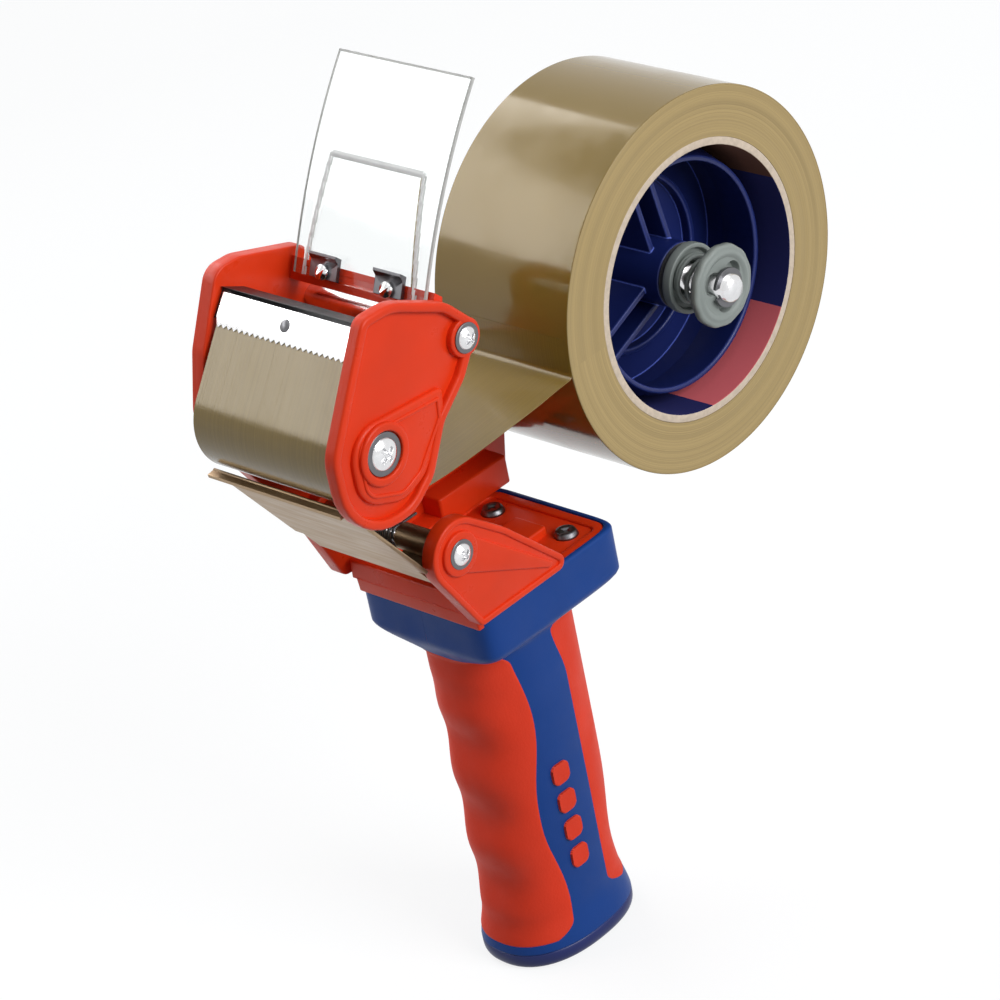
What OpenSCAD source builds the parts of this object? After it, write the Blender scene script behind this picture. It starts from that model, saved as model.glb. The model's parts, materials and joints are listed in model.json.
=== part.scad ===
// Pistol-grip dispenser for 50 mm packing tape.
// +X points forward (towards the application roller), +Y to the open side of the spindle, +Z up.
// The origin is the middle of the flat foot of the handle.

/* [Tape] */
// Width of the tape and of its cardboard core
tape_w = 50; // [46:1:52]
// Outer radius of the wound tape
roll_r = 55; // [47:0.5:57]
// Inner radius of the cardboard core
core_r = 38; // [36:0.5:39]
// Wall of the cardboard core
core_wall = 3.5; // [2:0.25:5]
// Modelled thickness of the single layer of tape
web_t = 0.3; // [0.2:0.05:0.5]

/* [Layout] */
// Height of the spindle axis above the foot
hub_z = 178; // [174:0.5:182]
// How far the spindle axis lies behind the handle's centre line
hub_back = 77.5; // [76:0.5:84]
// Height of the application roller's axis above the foot
roller_z = 193.4; // [192:0.1:195]
// How far the roller's axis lies ahead of the handle's centre line
roller_x = 52.3; // [51:0.1:54]
// Side clearance between the tape and each side plate
side_gap = 1.5; // [1:0.1:2.5]

/* [Handle] */
// Half length of the grip, front to back
grip_a = 22.5; // [20:0.25:24]
// Half width of the grip
grip_b = 16.5; // [15:0.25:18]
// Half length of the flared foot
foot_a = 25; // [24:0.1:27]
// Half width of the flared foot
foot_b = 18.2; // [17:0.1:20]
// Half length of the flange that carries the frame
flange_a = 28; // [26:0.25:30]
// Half width of the flange
flange_b = 24.8; // [23.5:0.1:25]
// Height of the flange's upper rim
flange_z = 126; // [124:0.5:128]
// How far the flange's middle lies behind the grip's middle
flange_shift = 1.5; // [0:0.1:2]
// Depth of the hollow low on the grip's back
heel_depth = 4.6; // [0:0.1:5]
// Depth of the finger waves
wave_depth = 2.3; // [0:0.1:2.5]
// Spacing of the finger waves
wave_pitch = 23.5; // [22:0.5:28]
// Thickness of the soft grip inlays
inlay_t = 2.6; // [1.5:0.1:4]
// Height of the separate foot cap
cap_h = 5; // [3:0.5:6]

/* [Frame] */
// Thickness of the side walls
wall_t = 3.5; // [2.5:0.1:5]
// Thickness of the deck floor
floor_t = 2.5; // [2:0.1:3]
// Depth of the deck tray inside the flange rim
tray_d = 3.5; // [3:0.1:5]
// Radius of the head plates around the roller axis
head_r = 18.7; // [17:0.1:20]
// Height of the raised rim round the wall outlines
rim_h = 1.5; // [1:0.25:3]
// Width of the raised rim round the wall outlines
rim_w = 2.2; // [1.5:0.1:3]
// Radius of the spindle boss on the arm
arm_boss_r = 14; // [12:0.5:17]
// Height of the lug axle above the foot
lug_z = 150.7; // [149:0.1:152]
// How far the lug axle lies ahead of the handle's centre line
lug_x = 31.4; // [30:0.1:33]
// Radius of the lug round its axle
lug_r = 10; // [9:0.25:10.5]
// Thickness of the lug
lug_t = 4.2; // [3:0.1:5]

/* [Roller and axles] */
// Radius of the application roller over its tyre
roller_r = 14.9; // [13.5:0.1:15.2]
// Thickness of the rubber tyre
tyre_t = 3; // [2:0.25:5]
// Radius of the roller's axle
axle_r = 3.5; // [3:0.25:4]
// Radius of the tie bar between the head plates
tie_r = 3.5; // [2.5:0.25:4.5]
// Radius of the lug axle
lug_axle_r = 2.5; // [2:0.1:3]
// Radius of the screw heads on the roller's axle
head_screw_r = 6; // [4.5:0.25:7]
// Radius of the screw heads on the tie bar and the lug axle
small_screw_r = 4.2; // [3:0.1:5]
// Height of the domed screw heads
screw_dome = 2.2; // [1.5:0.1:3]

/* [Reel] */
// Radius of the spindle
spindle_r = 5; // [4:0.25:6]
// Outer radius of the reel's central boss
boss_r = 9.5; // [8:0.25:12]
// Wall of the reel's rim
reel_wall = 2.2; // [1.6:0.1:3]
// How far the reel's rim lies inside the near face of the roll
reel_recess = 8; // [4:0.5:14]
// Radius of the stop flange on the far side
stop_r = 44; // [43:0.5:50]
// Number of box spokes
spoke_n = 3; // [3:1:4]
// Width of a box spoke
spoke_w = 7.5; // [5:0.25:10]
// Radius of the brake knob
knob_r = 11.5; // [9.5:0.25:14]
// Thickness of the brake knob
knob_t = 4; // [3:0.5:7]
// Wire diameter of the brake spring
brake_wire = 1.3; // [0.8:0.1:1.6]

/* [Blade, flap and guide] */
// Pitch of the blade's teeth
tooth_pitch = 2; // [1.5:0.25:3]
// Height of the blade's teeth
tooth_h = 1.6; // [1:0.1:2.4]
// Thickness of the blade
blade_t = 0.8; // [0.5:0.1:1.2]
// Width of the blade behind its teeth
blade_w = 7.8; // [6:0.2:9]
// Height of the clear flap above its clamp
flap_h = 52; // [45:1:56]
// Width of the clear flap
flap_w = 49; // [44:0.5:50]
// Thickness of the clear flap
flap_t = 1.2; // [0.8:0.1:1.6]
// Radius of the clear flap's backward curve
flap_bend = 200; // [150:5:400]
// Thickness of the steel guide plate
guide_t = 1; // [0.6:0.1:1.4]
// Clearance between the guide plate's lip and the tape on the roller
lip_gap = 1.2; // [0.8:0.1:2.5]

/* [Fits] */
// Radial running clearance of the turning parts
run_fit = 0.06; // [0.03:0.01:0.09]
// Gap between neighbours that are not a fit
rest_gap = 0.3; // [0.2:0.05:0.5]

/* [Hidden] */

eps = 0.01;
blue = [0.11, 0.22, 0.55];
orange = [0.88, 0.27, 0.14];
soft_orange = [0.80, 0.21, 0.13];
steel = [0.78, 0.79, 0.80];
dark = [0.10, 0.10, 0.11];

hub = [-hub_back, hub_z];
axle = [roller_x, roller_z];
tie = axle + [-35.4, 16];
lug = [lug_x, lug_z];
wall_y = tape_w / 2 + side_gap;
outer_y = wall_y + wall_t;
tray_z = flange_z - tray_d;
web_in = roller_r + rest_gap;
web_out = web_in + web_t;

// ---- helpers ------------------------------------------------------------------------------------

function ease(t) = t <= 0 ? 0 : t >= 1 ? 1 : t * t * (3 - 2 * t);
function polar(c, r, a) = c + r * [cos(a), sin(a)];
function heading(p) = atan2(p[1], p[0]);

// Outline of a belt round a convex ring of circles [x, z, r], each circle made smaller by inset.
function leave_angle(p, q) =
    let (d = [q[0] - p[0], q[1] - p[1]])
    heading(d) - acos((p[2] - q[2]) / norm(d));
function belt(ring, inset = 0, step = 9) = [
    for (i = [0 : len(ring) - 1])
        let (p = ring[(i + len(ring) - 1) % len(ring)], c = ring[i], q = ring[(i + 1) % len(ring)],
            first = leave_angle(p, c), turn = (leave_angle(c, q) - first + 720) % 360,
            steps = max(1, ceil(turn / step)))
        for (k = [0 : steps]) polar([c[0], c[1]], c[2] - inset, first + turn * k / steps)
];

// Outline with rounded corners, hollow ones too: corners [x, z, r] run left-handed round the shape.
function unit(v) = v / norm(v);
function left(v) = [-v[1], v[0]];
function corner(a, p, b, inset, step) =
    let (u = unit([p[0] - a[0], p[1] - a[1]]), v = unit([b[0] - p[0], b[1] - p[1]]),
        side = sign(u[0] * v[1] - u[1] * v[0]),
        q = [p[0], p[1]] + inset * (left(u) + left(v)) / (1 + left(u) * left(v)),
        r = max(0.1, p[2] - side * inset), half = acos(u * v) / 2,
        c = q - u * r * tan(half) + left(u) * r * side, first = heading(u) - 90 * side,
        steps = max(1, ceil(2 * half / step)))
    [for (k = [0 : steps]) polar(c, r, first + side * 2 * half * k / steps)];
function rounded(ring, inset = 0, step = 9) = [
    for (i = [0 : len(ring) - 1])
        each corner(ring[(i + len(ring) - 1) % len(ring)], ring[i], ring[(i + 1) % len(ring)], inset, step)
];

// Stand a drawing of X and Z up, from y0 to y1.
module side_slab(y0, y1) {
    translate([0, y1, 0]) rotate([90, 0, 0]) linear_extrude(y1 - y0) children();
}

// A round bar along Y through the point p of X and Z.
module y_bar(p, r, y0, y1) {
    translate([p[0], y0, p[1]]) rotate([-90, 0, 0]) cylinder(r = r, h = y1 - y0, $fn = 64);
}

// A domed screw head with a cross recess, whose seat lies at y, facing along side.
module screw_head(p, r, y, side) {
    translate([p[0], y, p[1]]) rotate([-90 * side, 0, 0]) difference() {
        union() {
            cylinder(r = r, h = screw_dome * 0.4, $fn = 48);
            translate([0, 0, screw_dome * 0.4]) cylinder(r1 = r, r2 = r * 0.62, h = screw_dome * 0.6, $fn = 48);
        }
        for (turn = [0, 90]) rotate(turn)
            translate([-r * 0.5, -r * 0.09, screw_dome * 0.45]) cube([r, r * 0.18, screw_dome]);
    }
}

// Solid between two rings of points of equal count, closed at both ends: rings is a list of loops.
module loft(rings) {
    n = len(rings[0]);
    m = len(rings);
    polyhedron(
        points = [for (ring = rings) each ring],
        faces = concat(
            [[for (i = [0 : n - 1]) i]],
            [for (j = [0 : m - 2]) for (i = [0 : n - 1])
                let (a = j * n + i, b = j * n + (i + 1) % n) each [[a, a + n, b + n], [a, b + n, b]]],
            [[for (i = [n - 1 : -1 : 0]) (m - 1) * n + i]]),
        convexity = 6);
}

// ---- handle -------------------------------------------------------------------------------------

grip_low = 16;
grip_high = 103.5;
flange_low = 112.5;
inlay_low = 7;
inlay_high = 106;
wave_first = 15.3;
inlay_gap = 0.06;
// Half length, half width and squareness of the handle's cross-section at height z.
function flare_low(z) = 1 - ease((z - 3) / (grip_low - 3));
function flare_high(z) = ease((z - grip_high) / (flange_low - grip_high));
function half_long(z) = grip_a + (foot_a - grip_a) * flare_low(z) + (flange_a - grip_a) * flare_high(z);
function half_wide(z) = grip_b + (foot_b - grip_b) * flare_low(z) + (flange_b - grip_b) * flare_high(z);
function squareness(z) = 2.3 + 8.7 * flare_high(z);
function fade(z) = ease((z - 10) / 10) * (1 - ease((z - 84) / 14));
function wave(z) = -wave_depth * fade(z) * (0.5 - 0.5 * cos(360 * (z - wave_first) / wave_pitch));
function heel(z) = -heel_depth * exp(-pow((z - 27) / 13, 2)) - (foot_a - 23.4) * flare_low(z);
function signed_power(v, p) = sign(v) * pow(abs(v), p);

// A point of the handle's skin at height z and angle t (0 faces forward), sunk by depth.
function skin(z, t, depth = 0) =
    let (p = 2 / squareness(z), front = max(0, cos(t)), back = max(0, -cos(t)))
    [(half_long(z) + wave(z) * front * front + heel(z) * back * back - depth) * signed_power(cos(t), p)
            - flange_shift * flare_high(z),
        (half_wide(z) - depth) * signed_power(sin(t), p), z];

// Half angles of the two soft inlays at height z, rounded off at their ends.
function round_end(d, r) = d <= 0 ? 0 : d >= r ? 1 : sqrt(1 - pow(1 - d / r, 2));
function front_half(z) = (67.5 + 6 * cos(360 * (z - 80) / 62)) *
    min(round_end(z - inlay_low + 2.2, 7), round_end(inlay_high - z + 1.2, 7));
function rear_half(z) = (77 + 8 * ease((z - 86) / 18)) *
    min(round_end(z - rear_low + 1.5, 8), round_end(rear_high - z + 5, 9));

front_n = 16;
side_n = 7;
rear_n = 10;
function spread(from, to, n) = [for (i = [0 : n]) from + (to - from) * i / n];

levels = spread(inlay_low, inlay_high, 27);
rear_low = levels[1];
rear_high = inlay_high;

// One loop of the core: sunk where an inlay lies, full on the blue stripes.
function core_loop(z, sunk_front, sunk_rear) =
    let (f = front_half(max(z, inlay_low)), r = rear_half(max(z, rear_low)),
        d = sunk_front ? inlay_t + inlay_gap : 0, e = sunk_rear ? inlay_t + inlay_gap : 0)
    concat(
        [for (t = spread(-f, f, front_n)) skin(z, t, d)],
        [for (t = spread(f + 0.3, 179.7 - r, side_n)) skin(z, t)],
        [for (t = spread(180 - r, 180 + r, rear_n)) skin(z, t, e)],
        [for (t = spread(180.3 + r, 359.7 - f, side_n)) skin(z, t)]);

// A soft inlay that fills the sunk band from a level up, centred on the angle mid.
module inlay(from, n, mid, is_front) {
    last = len(levels) - 1;
    loft([for (i = [from : last])
        let (z = levels[i] + (i == from ? inlay_gap : i == last ? -inlay_gap : 0),
            h = is_front ? front_half(levels[i]) : rear_half(levels[i]))
        concat(
            [for (t = spread(mid - h + 0.2, mid + h - 0.2, n)) skin(z, t)],
            [for (t = spread(mid + h - 0.2, mid - h + 0.2, n)) skin(z, t, inlay_t)])]);
}

pad_n = 4;
pad_pitch = 9.6;
pad_high = 59.4;
pad_size = [6.4, 6.6];
pad_proud = 0.6;
module pad_block(side, grow) {
    for (i = [0 : pad_n - 1])
        translate([3.2 - i * 0.3, side * (grip_b - 1.6 - grow), pad_high - i * pad_pitch])
            rotate([-90 * side, 0, 0]) linear_extrude(1.6 + pad_proud + grow)
                polygon(belt([for (c = [[1, 1], [-1, 1], [-1, -1], [1, -1]])
                    [c[0] * (pad_size[0] / 2 - 2), c[1] * (pad_size[1] / 2 - 2), 2 + grow]], 0, 18));
}

module handle_core() {
    color(blue) difference() {
        loft(concat(
            [for (z = [cap_h, inlay_low - 0.05]) core_loop(z, false, false)],
            [for (z = [inlay_low, rear_low - 0.05]) core_loop(z, true, false)],
            [for (i = [1 : len(levels) - 1]) core_loop(levels[i], true, true)],
            [for (z = [inlay_high + 0.05, 107.5, 109, 110.5, flange_low, flange_z]) core_loop(z, false, false)]));
        deck_space(rest_gap);
        for (side = [-1, 1]) pad_block(side, 0.05);
        for (p = deck_screw_at) translate([p[0], p[1], tray_z - 12]) cylinder(r = 1.9, h = 20, $fn = 32);
    }
}

module front_grip() {
    color(orange) inlay(0, front_n, 0, true);
}

module rear_grip() {
    color(soft_orange) inlay(1, rear_n, 180, false);
}

module stripe_pads() {
    color(soft_orange) for (side = [-1, 1]) pad_block(side, 0);
}

// Flat-bottomed cap with a rounded lower edge, which closes the handle and is its foot.
module foot_cap() {
    color(dark) loft([for (k = [0 : 6])
        let (t = min(k, 5) / 5, z = k == 6 ? cap_h - 0.02 : 2.5 * (1 - cos(90 * t)),
            d = 1.6 * (1 - sin(90 * t)))
        [for (a = [0 : 10 : 350]) let (s = skin(cap_h, a, d)) [s[0], s[1], z]]]);
}

// ---- frame --------------------------------------------------------------------------------------

// Outlines [x, z, r]: the two head plates, the far wall's neck and arm, and the near lug.
head_ring = [[axle[0] + 17, axle[1] - 21, head_r - 1], [axle[0] + 17, axle[1] + 6, 12],
    [axle[0] - 2.4, axle[1] + 37.6, 4.5], [axle[0] - 13.3, axle[1] + 37.4, 18],
    [axle[0] - 31.6, axle[1] + 28.2, 14], [tie[0] - 5.9, tie[1] + 1.4, 4],
    [tie[0] + 3.2, tie[1] - 10.6, 9], [tie[0] + 12.9, tie[1] - 18.4, 9], [axle[0] - 15.2, axle[1] - 14.8, 10],
    [axle[0] - 6.5, axle[1] - 21, 13]];
far_head_ring = [[axle[0] + 9.8, axle[1] - 11, 9], [axle[0] + 9.6, axle[1] + 3, 9], [axle[0] + 5.1, axle[1] + 19, 12],
    [axle[0] - 5.2, axle[1] + 38.6, 6], [axle[0] - 14, axle[1] + 38.4, 12], [axle[0] - 36.8, axle[1] + 31, 5],
    [tie[0] - 6, tie[1] - 1, 5], [tie[0] + 3.2, tie[1] - 14, 9], [axle[0] - 12, axle[1] - 22, 9]];
neck_ring = [[24.5, flange_z + 3.8, 3.6], [lug[0] - 1.4, lug[1], lug_r - 2], [20, 164, 8], [-20, 160, 11],
    [-35, 146, 8], [-33.6, flange_z - 0.4, 4]];
arm_ring = [[hub[0], hub[1], arm_boss_r], [-24, 155, 12]];
throat_ring = [[axle[0] - 2.4, axle[1] - 9, 8], [tie[0] + 8, tie[1] - 22, 9], [20, 160, 9],
    [lug[0] - 2.4, lug[1] + 4, 8]];
lug_ring = [[lug[0], lug[1], lug_r], [20, 142.6, 9], [-2.2, flange_z + 2.9, 2.6], [27.7, flange_z + 2.5, 2.2]];

deck_front = flange_a - flange_shift + 0.5;
deck_rear = flange_a + flange_shift - 1.8;
deck_half = flange_b - 1.8;
lug_in = 22.3;
lug_face = lug_in + lug_t;
ring_top = 1.8;
deck_screw_at = [[-19, -14], [-19, 14], [18, -14], [18, 10]];

// The pocket in the flange that the deck sits in, open to the front.
module deck_space(grow) {
    translate([0, 0, tray_z]) linear_extrude(tray_d + 5)
        polygon(belt([[deck_front + 10, deck_half - 4, 4 + grow], [-deck_rear + 5, deck_half - 5, 5 + grow],
            [-deck_rear + 5, 5 - deck_half, 5 + grow], [deck_front + 10, 4 - deck_half, 4 + grow]]));
}

// Fills of the far wall's outline, made smaller by inset.
module wall_outline(inset) {
    polygon(rounded(far_head_ring, inset));
    for (ring = [neck_ring, throat_ring, arm_ring]) polygon(belt(ring, inset));
}

// A raised boss with two rings, round an axle on the outer face of a head plate.
module ringed_boss(p, r, y, side) {
    for (k = [0 : 1])
        translate([p[0], y - side * 0.5, p[1]]) rotate([-90 * side, 0, 0]) difference() {
            cylinder(r = r - 4.4 * k, h = 0.5 + ring_top / 2 * (k + 1), $fn = 64);
            if (k == 0) translate([0, 0, -1]) cylinder(r = r - 1.6, h = 5, $fn = 64);
        }
}

module main_frame() {
    color(orange) difference() {
        union() {
            // far wall with its outer rim
            side_slab(-outer_y, -wall_y) wall_outline(0);
            difference() {
                side_slab(-outer_y - rim_h, -outer_y + eps) wall_outline(0);
                side_slab(-outer_y - rim_h - 1, -outer_y + 1) wall_outline(rim_w);
            }
            // stiffening ribs of the arm and the neck, on the outer face
            for (run = [[hub, [20, 163]], [hub, [-24, 136]], [[-30, 150], [24, 132]], [[-26, 132], [24, 168]]])
                let (d = run[1] - run[0])
                translate([run[0][0], 0, run[0][1]]) rotate([0, -heading(d), 0])
                    translate([8, -outer_y - rim_h + 0.4, -0.9]) cube([norm(d) - 12, rim_h, 1.8]);
            ringed_boss(axle, head_r - 9.6, -outer_y, -1);
            y_bar(tie, 5.6, -outer_y - rim_h, -outer_y + 1);
            // spindle boss and its thrust ring
            y_bar(hub, arm_boss_r, -outer_y - rim_h - 2, -wall_y);
            y_bar(hub, boss_r, -wall_y - 1, -wall_y + 0.3);
            // step that joins the wall to the deck over the flange rim
            for (run = [[-32.7, 28, 9], [-5, 28.4, 3]])
                translate([run[0], -wall_y - 1, flange_z + 0.2]) cube([run[1], wall_y + 4 - deck_half, run[2]]);
            translate([4 - deck_rear, -deck_half + 0.4, tray_z + 1]) cube([deck_front + deck_rear - 11, 2.6, tray_d + 1]);
            // deck tray
            difference() {
                deck_plate();
                translate([-deck_rear + 3, 3 - deck_half, tray_z + floor_t])
                    cube([deck_front + deck_rear - 6, 2 * deck_half - 6, 20]);
            }
            // cross ribs and the raised key block of the tray
            for (x = [-8, 8]) translate([x, 2 - deck_half, tray_z + 1]) cube([1.8, 2 * deck_half - 4, tray_d - 1]);
            translate([-17, -3, tray_z + 1]) cube([22, 12, tray_d + 0.8]);
            // front apron under the guide plate
            side_slab(-deck_half, deck_half)
                polygon([[deck_front - 5, tray_z + 0.5], [deck_front, tray_z], [deck_front + 0.4, flange_z + 1],
                    [deck_front - 3.4, flange_z + 1]]);
            side_slab(-flange_b, lug_face - 0.6)
                polygon([[deck_front - 3.8, flange_z + 0.2], [deck_front + 0.3, flange_z + 0.2],
                    [deck_front - 0.2, flange_z + 6], [deck_front - 3.8, flange_z + 6]]);
            // near lug with its outer rim and diagonal rib, and its foot inside the flange rim
            side_slab(lug_in, lug_face) polygon(belt(lug_ring));
            difference() {
                side_slab(lug_face - 1, lug_face + 0.7) polygon(belt(lug_ring));
                side_slab(lug_face - 2, lug_face + 2) polygon(belt(lug_ring, 2));
            }
            side_slab(lug_face - 1, lug_face + 0.9)
                polygon(belt([[lug[0], lug[1], 5.4], [1, flange_z + 4.4, 1]]));
            side_slab(deck_half - 3, deck_half - 0.2)
                polygon([[-3, tray_z + 1], [26.5, tray_z + 1], [27, flange_z + 4], [-2, flange_z + 4]]);
            side_slab(deck_half - 3, lug_in + 1)
                polygon([[-3, flange_z + 0.5], [26.5, flange_z + 0.5], [27, flange_z + 7], [4, flange_z + 7]]);
            // far boss of the lug axle
            y_bar(lug, 6, -wall_y - 1, -lug_in);
        }
        y_bar(hub, spindle_r + run_fit, -60, 0);
        y_bar(axle, 2.1, -60, 0);
        y_bar(tie, 2.1, -60, 0);
        y_bar(lug, lug_axle_r + run_fit, -60, 60);
        for (p = deck_screw_at) translate([p[0], p[1], tray_z - 5]) cylinder(r = 2.2, h = 20, $fn = 32);
    }
}

module deck_plate() {
    intersection() {
        deck_space(0);
        translate([-60, -60, tray_z]) cube([60 + deck_front, 120, tray_d - 0.3]);
    }
}

module deck_screws() {
    color(steel) for (p = deck_screw_at) {
        translate([p[0], p[1], tray_z - 10]) cylinder(r = 1.8, h = 10 + floor_t, $fn = 32);
        translate([p[0], p[1], tray_z + floor_t]) difference() {
            cylinder(r1 = 3.6, r2 = 2.8, h = 1.6, $fn = 32);
            for (turn = [0, 90]) rotate(turn) translate([-1.8, -0.35, 0.8]) cube([3.6, 0.7, 2]);
        }
    }
}

module near_plate() {
    color(orange) difference() {
        union() {
            side_slab(wall_y, outer_y - 0.6) polygon(rounded(head_ring));
            // raised rim
            difference() {
                side_slab(outer_y - 1, outer_y + 0.5) polygon(rounded(head_ring, 0.3));
                side_slab(outer_y - 2, outer_y + 2) polygon(rounded(head_ring, 2.6));
            }
            ringed_boss(axle, head_r - 5.6, outer_y - 0.6, 1);
            // double rib over the roller boss
            for (rise = [6.6, 10.2])
                translate([axle[0] - 24, outer_y - 1, axle[1] + rise]) cube([34, 1.2, 1.5]);
            y_bar(tie, 5.6, outer_y - 1, outer_y + 0.8);
        }
        y_bar(axle, 2.1, 0, 60);
        y_bar(tie, 2.1, 0, 60);
    }
}

module front_axle() {
    color(steel) difference() {
        y_bar(axle, axle_r, -wall_y, wall_y);
        for (side = [-1, 1]) y_bar(axle, 2.1, side > 0 ? wall_y - 12 : -wall_y - 1, side > 0 ? wall_y + 1 : 12 - wall_y);
    }
}

near_seat = outer_y - 0.6 + ring_top;
far_seat = outer_y + ring_top;
module axle_screws() {
    color(steel) {
        screw_head(axle, head_screw_r, near_seat, 1);
        y_bar(axle, 2, wall_y - 10, near_seat);
        screw_head(axle, head_screw_r, -far_seat, -1);
        y_bar(axle, 2, -far_seat, 10 - wall_y);
    }
}

module tie_bar() {
    color(steel) difference() {
        y_bar(tie, tie_r, -wall_y, wall_y);
        for (side = [-1, 1]) y_bar(tie, 2.1, side > 0 ? wall_y - 12 : -wall_y - 1, side > 0 ? wall_y + 1 : 12 - wall_y);
    }
}

module tie_screws() {
    color(steel) {
        screw_head(tie, small_screw_r, outer_y + 0.8, 1);
        y_bar(tie, 2, wall_y - 10, outer_y + 1);
        screw_head(tie, small_screw_r, -outer_y - rim_h, -1);
        y_bar(tie, 2, -outer_y - rim_h - 0.4, 10 - wall_y);
    }
}

module lug_axle() {
    color(steel) difference() {
        y_bar(lug, lug_axle_r, -outer_y + 0.3, lug_face - 0.3);
        y_bar(lug, 1.6, lug_face - 10, lug_face);
        y_bar(lug, 1.6, -outer_y, -outer_y + 10);
    }
}

module lug_screws() {
    color(steel) {
        screw_head(lug, small_screw_r, lug_face + 0.9, 1);
        y_bar(lug, 1.5, lug_face - 9, lug_face + 1.2);
        screw_head(lug, small_screw_r, -outer_y, -1);
        y_bar(lug, 1.5, -outer_y - 0.6, 9 - outer_y);
    }
}

// ---- guide plate --------------------------------------------------------------------------------

lip_at = polar(axle, web_out + lip_gap, -46);
plate_foot = lug + [5.7, -6.6];
plate_wide = 37.9;
knuckle_r = lug_axle_r + run_fit + 1.2;
tongue_half = lug_in - 0.4;

// A flat strip of the guide plate between two points of X and Z, on the left of the run.
module strip(p, q, half) {
    d = (q - p) / norm(q - p);
    n = [-d[1], d[0]];
    side_slab(-half, half) polygon([p, q, q + n * guide_t, p + n * guide_t]);
}

module guide_plate() {
    run = (lip_at - plate_foot) / norm(lip_at - plate_foot);
    out = [run[1], -run[0]];
    lip_end = lip_at + out * 2.6 + run * 1.4;
    neck_at = lip_at - run * plate_wide;
    color(steel) {
        difference() {
            union() {
                strip(lip_at, neck_at, tape_w / 2);
                strip(neck_at + run * eps, plate_foot, tongue_half);
                strip(lip_end, lip_at, tape_w / 2);
                y_bar(lip_at + [guide_t * 0.4, -guide_t * 0.3], guide_t * 0.5, -tape_w / 2, tape_w / 2);
                strip(plate_foot + run * guide_t + out * guide_t * 0.6, lug + [0, -knuckle_r + 0.6], tongue_half);
                y_bar(lug, knuckle_r, -tongue_half, tongue_half);
            }
            y_bar(lug, lug_axle_r + run_fit, -60, 60);
            // gap in the knuckle for the spring
            side_slab(-6, 6) polygon(belt([[lug[0], lug[1], knuckle_r + 1.5], [lug[0] + 3.6, lug[1] - 3, knuckle_r]]));
        }
    }
}

// Torsion spring on the lug axle: coils with a straight leg at each end.
module guide_spring() {
    wire = 0.9;
    coil_r = lug_axle_r + run_fit + 0.3 + wire / 2;
    turns = 5;
    pitch = 1.5;
    path = concat(
        [[lug[0] - 14, -turns * pitch / 2, lug[1] - coil_r]],
        [for (a = [0 : 20 : 360 * turns])
            [lug[0] - coil_r * sin(a), (a / 360 - turns / 2) * pitch, lug[1] - coil_r * cos(a)]],
        [[lug[0] + 4.2, turns * pitch / 2, lug[1] - coil_r]]);
    color(dark) sweep(path, wire / 2, 6, [0, 1, 0]);
}

// Round tube along a path. The side vector keeps its cross-sections from turning.
module sweep(path, r, sides, side) {
    n = len(path);
    loft([for (i = [0 : n - 1])
        let (t0 = path[min(i + 1, n - 1)] - path[max(i - 1, 0)], t = t0 / norm(t0),
            u0 = cross(t, side), u = u0 / norm(u0), v = cross(t, u))
        [for (k = [0 : sides - 1]) path[i] + r * (cos(360 * k / sides) * u + sin(360 * k / sides) * v)]]);
}

// ---- blade and flap -----------------------------------------------------------------------------

blade_edge = axle + [-0.6, 26.3];
blade_tilt = 129;
tilt_dir = [cos(blade_tilt), sin(blade_tilt)];
tilt_out = [sin(blade_tilt), -cos(blade_tilt)];
blade_half = tape_w / 2 + 0.6;
rivet_r = 1.2;

// Put children that lie in the blade's plane in place: X along the dispenser's width, Y up the blade.
module blade_plane(lift) {
    p = blade_edge + tilt_out * lift;
    translate([p[0], 0, p[1]]) multmatrix([[0, tilt_dir[0], tilt_out[0], 0], [1, 0, 0, 0],
        [0, tilt_dir[1], tilt_out[1], 0], [0, 0, 0, 1]]) children();
}

module blade() {
    teeth = floor(2 * blade_half / tooth_pitch);
    start = -teeth * tooth_pitch / 2;
    color(steel) blade_plane(0) difference() {
        linear_extrude(blade_t) polygon(concat(
            [for (i = [0 : teeth - 1]) each [[start + i * tooth_pitch, 0], [start + (i + 0.5) * tooth_pitch, -tooth_h]]],
            [[-start, 0], [-start, blade_w], [start, blade_w]]));
        translate([0, blade_w * 0.45, -1]) cylinder(r = rivet_r + 0.05, h = 5, $fn = 32);
    }
}

module blade_rivet() {
    color(dark) blade_plane(0) translate([0, blade_w * 0.45, 0]) {
        translate([0, 0, -2.5]) cylinder(r = rivet_r, h = 2.5 + blade_t + 0.1, $fn = 32);
        translate([0, 0, blade_t]) cylinder(r1 = rivet_r * 1.5, r2 = rivet_r, h = 0.5, $fn = 32);
    }
}

carrier_d = 5;
module blade_carrier() {
    a = blade_edge + tilt_dir * 0.6;
    b = blade_edge + tilt_dir * (blade_w + 1);
    color(dark) difference() {
        side_slab(-wall_y, wall_y)
            polygon([a, a - tilt_out * 1.6, b - tilt_out * carrier_d - tilt_dir * 5, b - tilt_out * carrier_d + [-3, 0],
                b + tilt_out * 0.9, b]);
        blade_plane(0) translate([0, blade_w * 0.45, -3]) cylinder(r = rivet_r + 0.05, h = 5, $fn = 32);
    }
}

flap_foot_at = axle + [-28.4, 27];
flap_lean = 116;
flap_in = [cos(flap_lean), sin(flap_lean)];
flap_back = [-sin(flap_lean), cos(flap_lean)];
clamp_h = 8;
bend_gap = 0.5;
rivet_at = [-12, 12];

// Low bar behind the foot of the flap, between the side walls.
bar_h = 4.2;
bar_d = 4;
module flap_bar() {
    base = flap_foot_at + flap_back * flap_t;
    color(orange) difference() {
        side_slab(-wall_y, wall_y)
            polygon([base - flap_in * 2, base + flap_in * bar_h, base + flap_in * (bar_h - 1) + flap_back * (bar_d - 1),
                base + flap_back * bar_d - flap_in * 2]);
        rivet_holes();
    }
}

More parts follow.
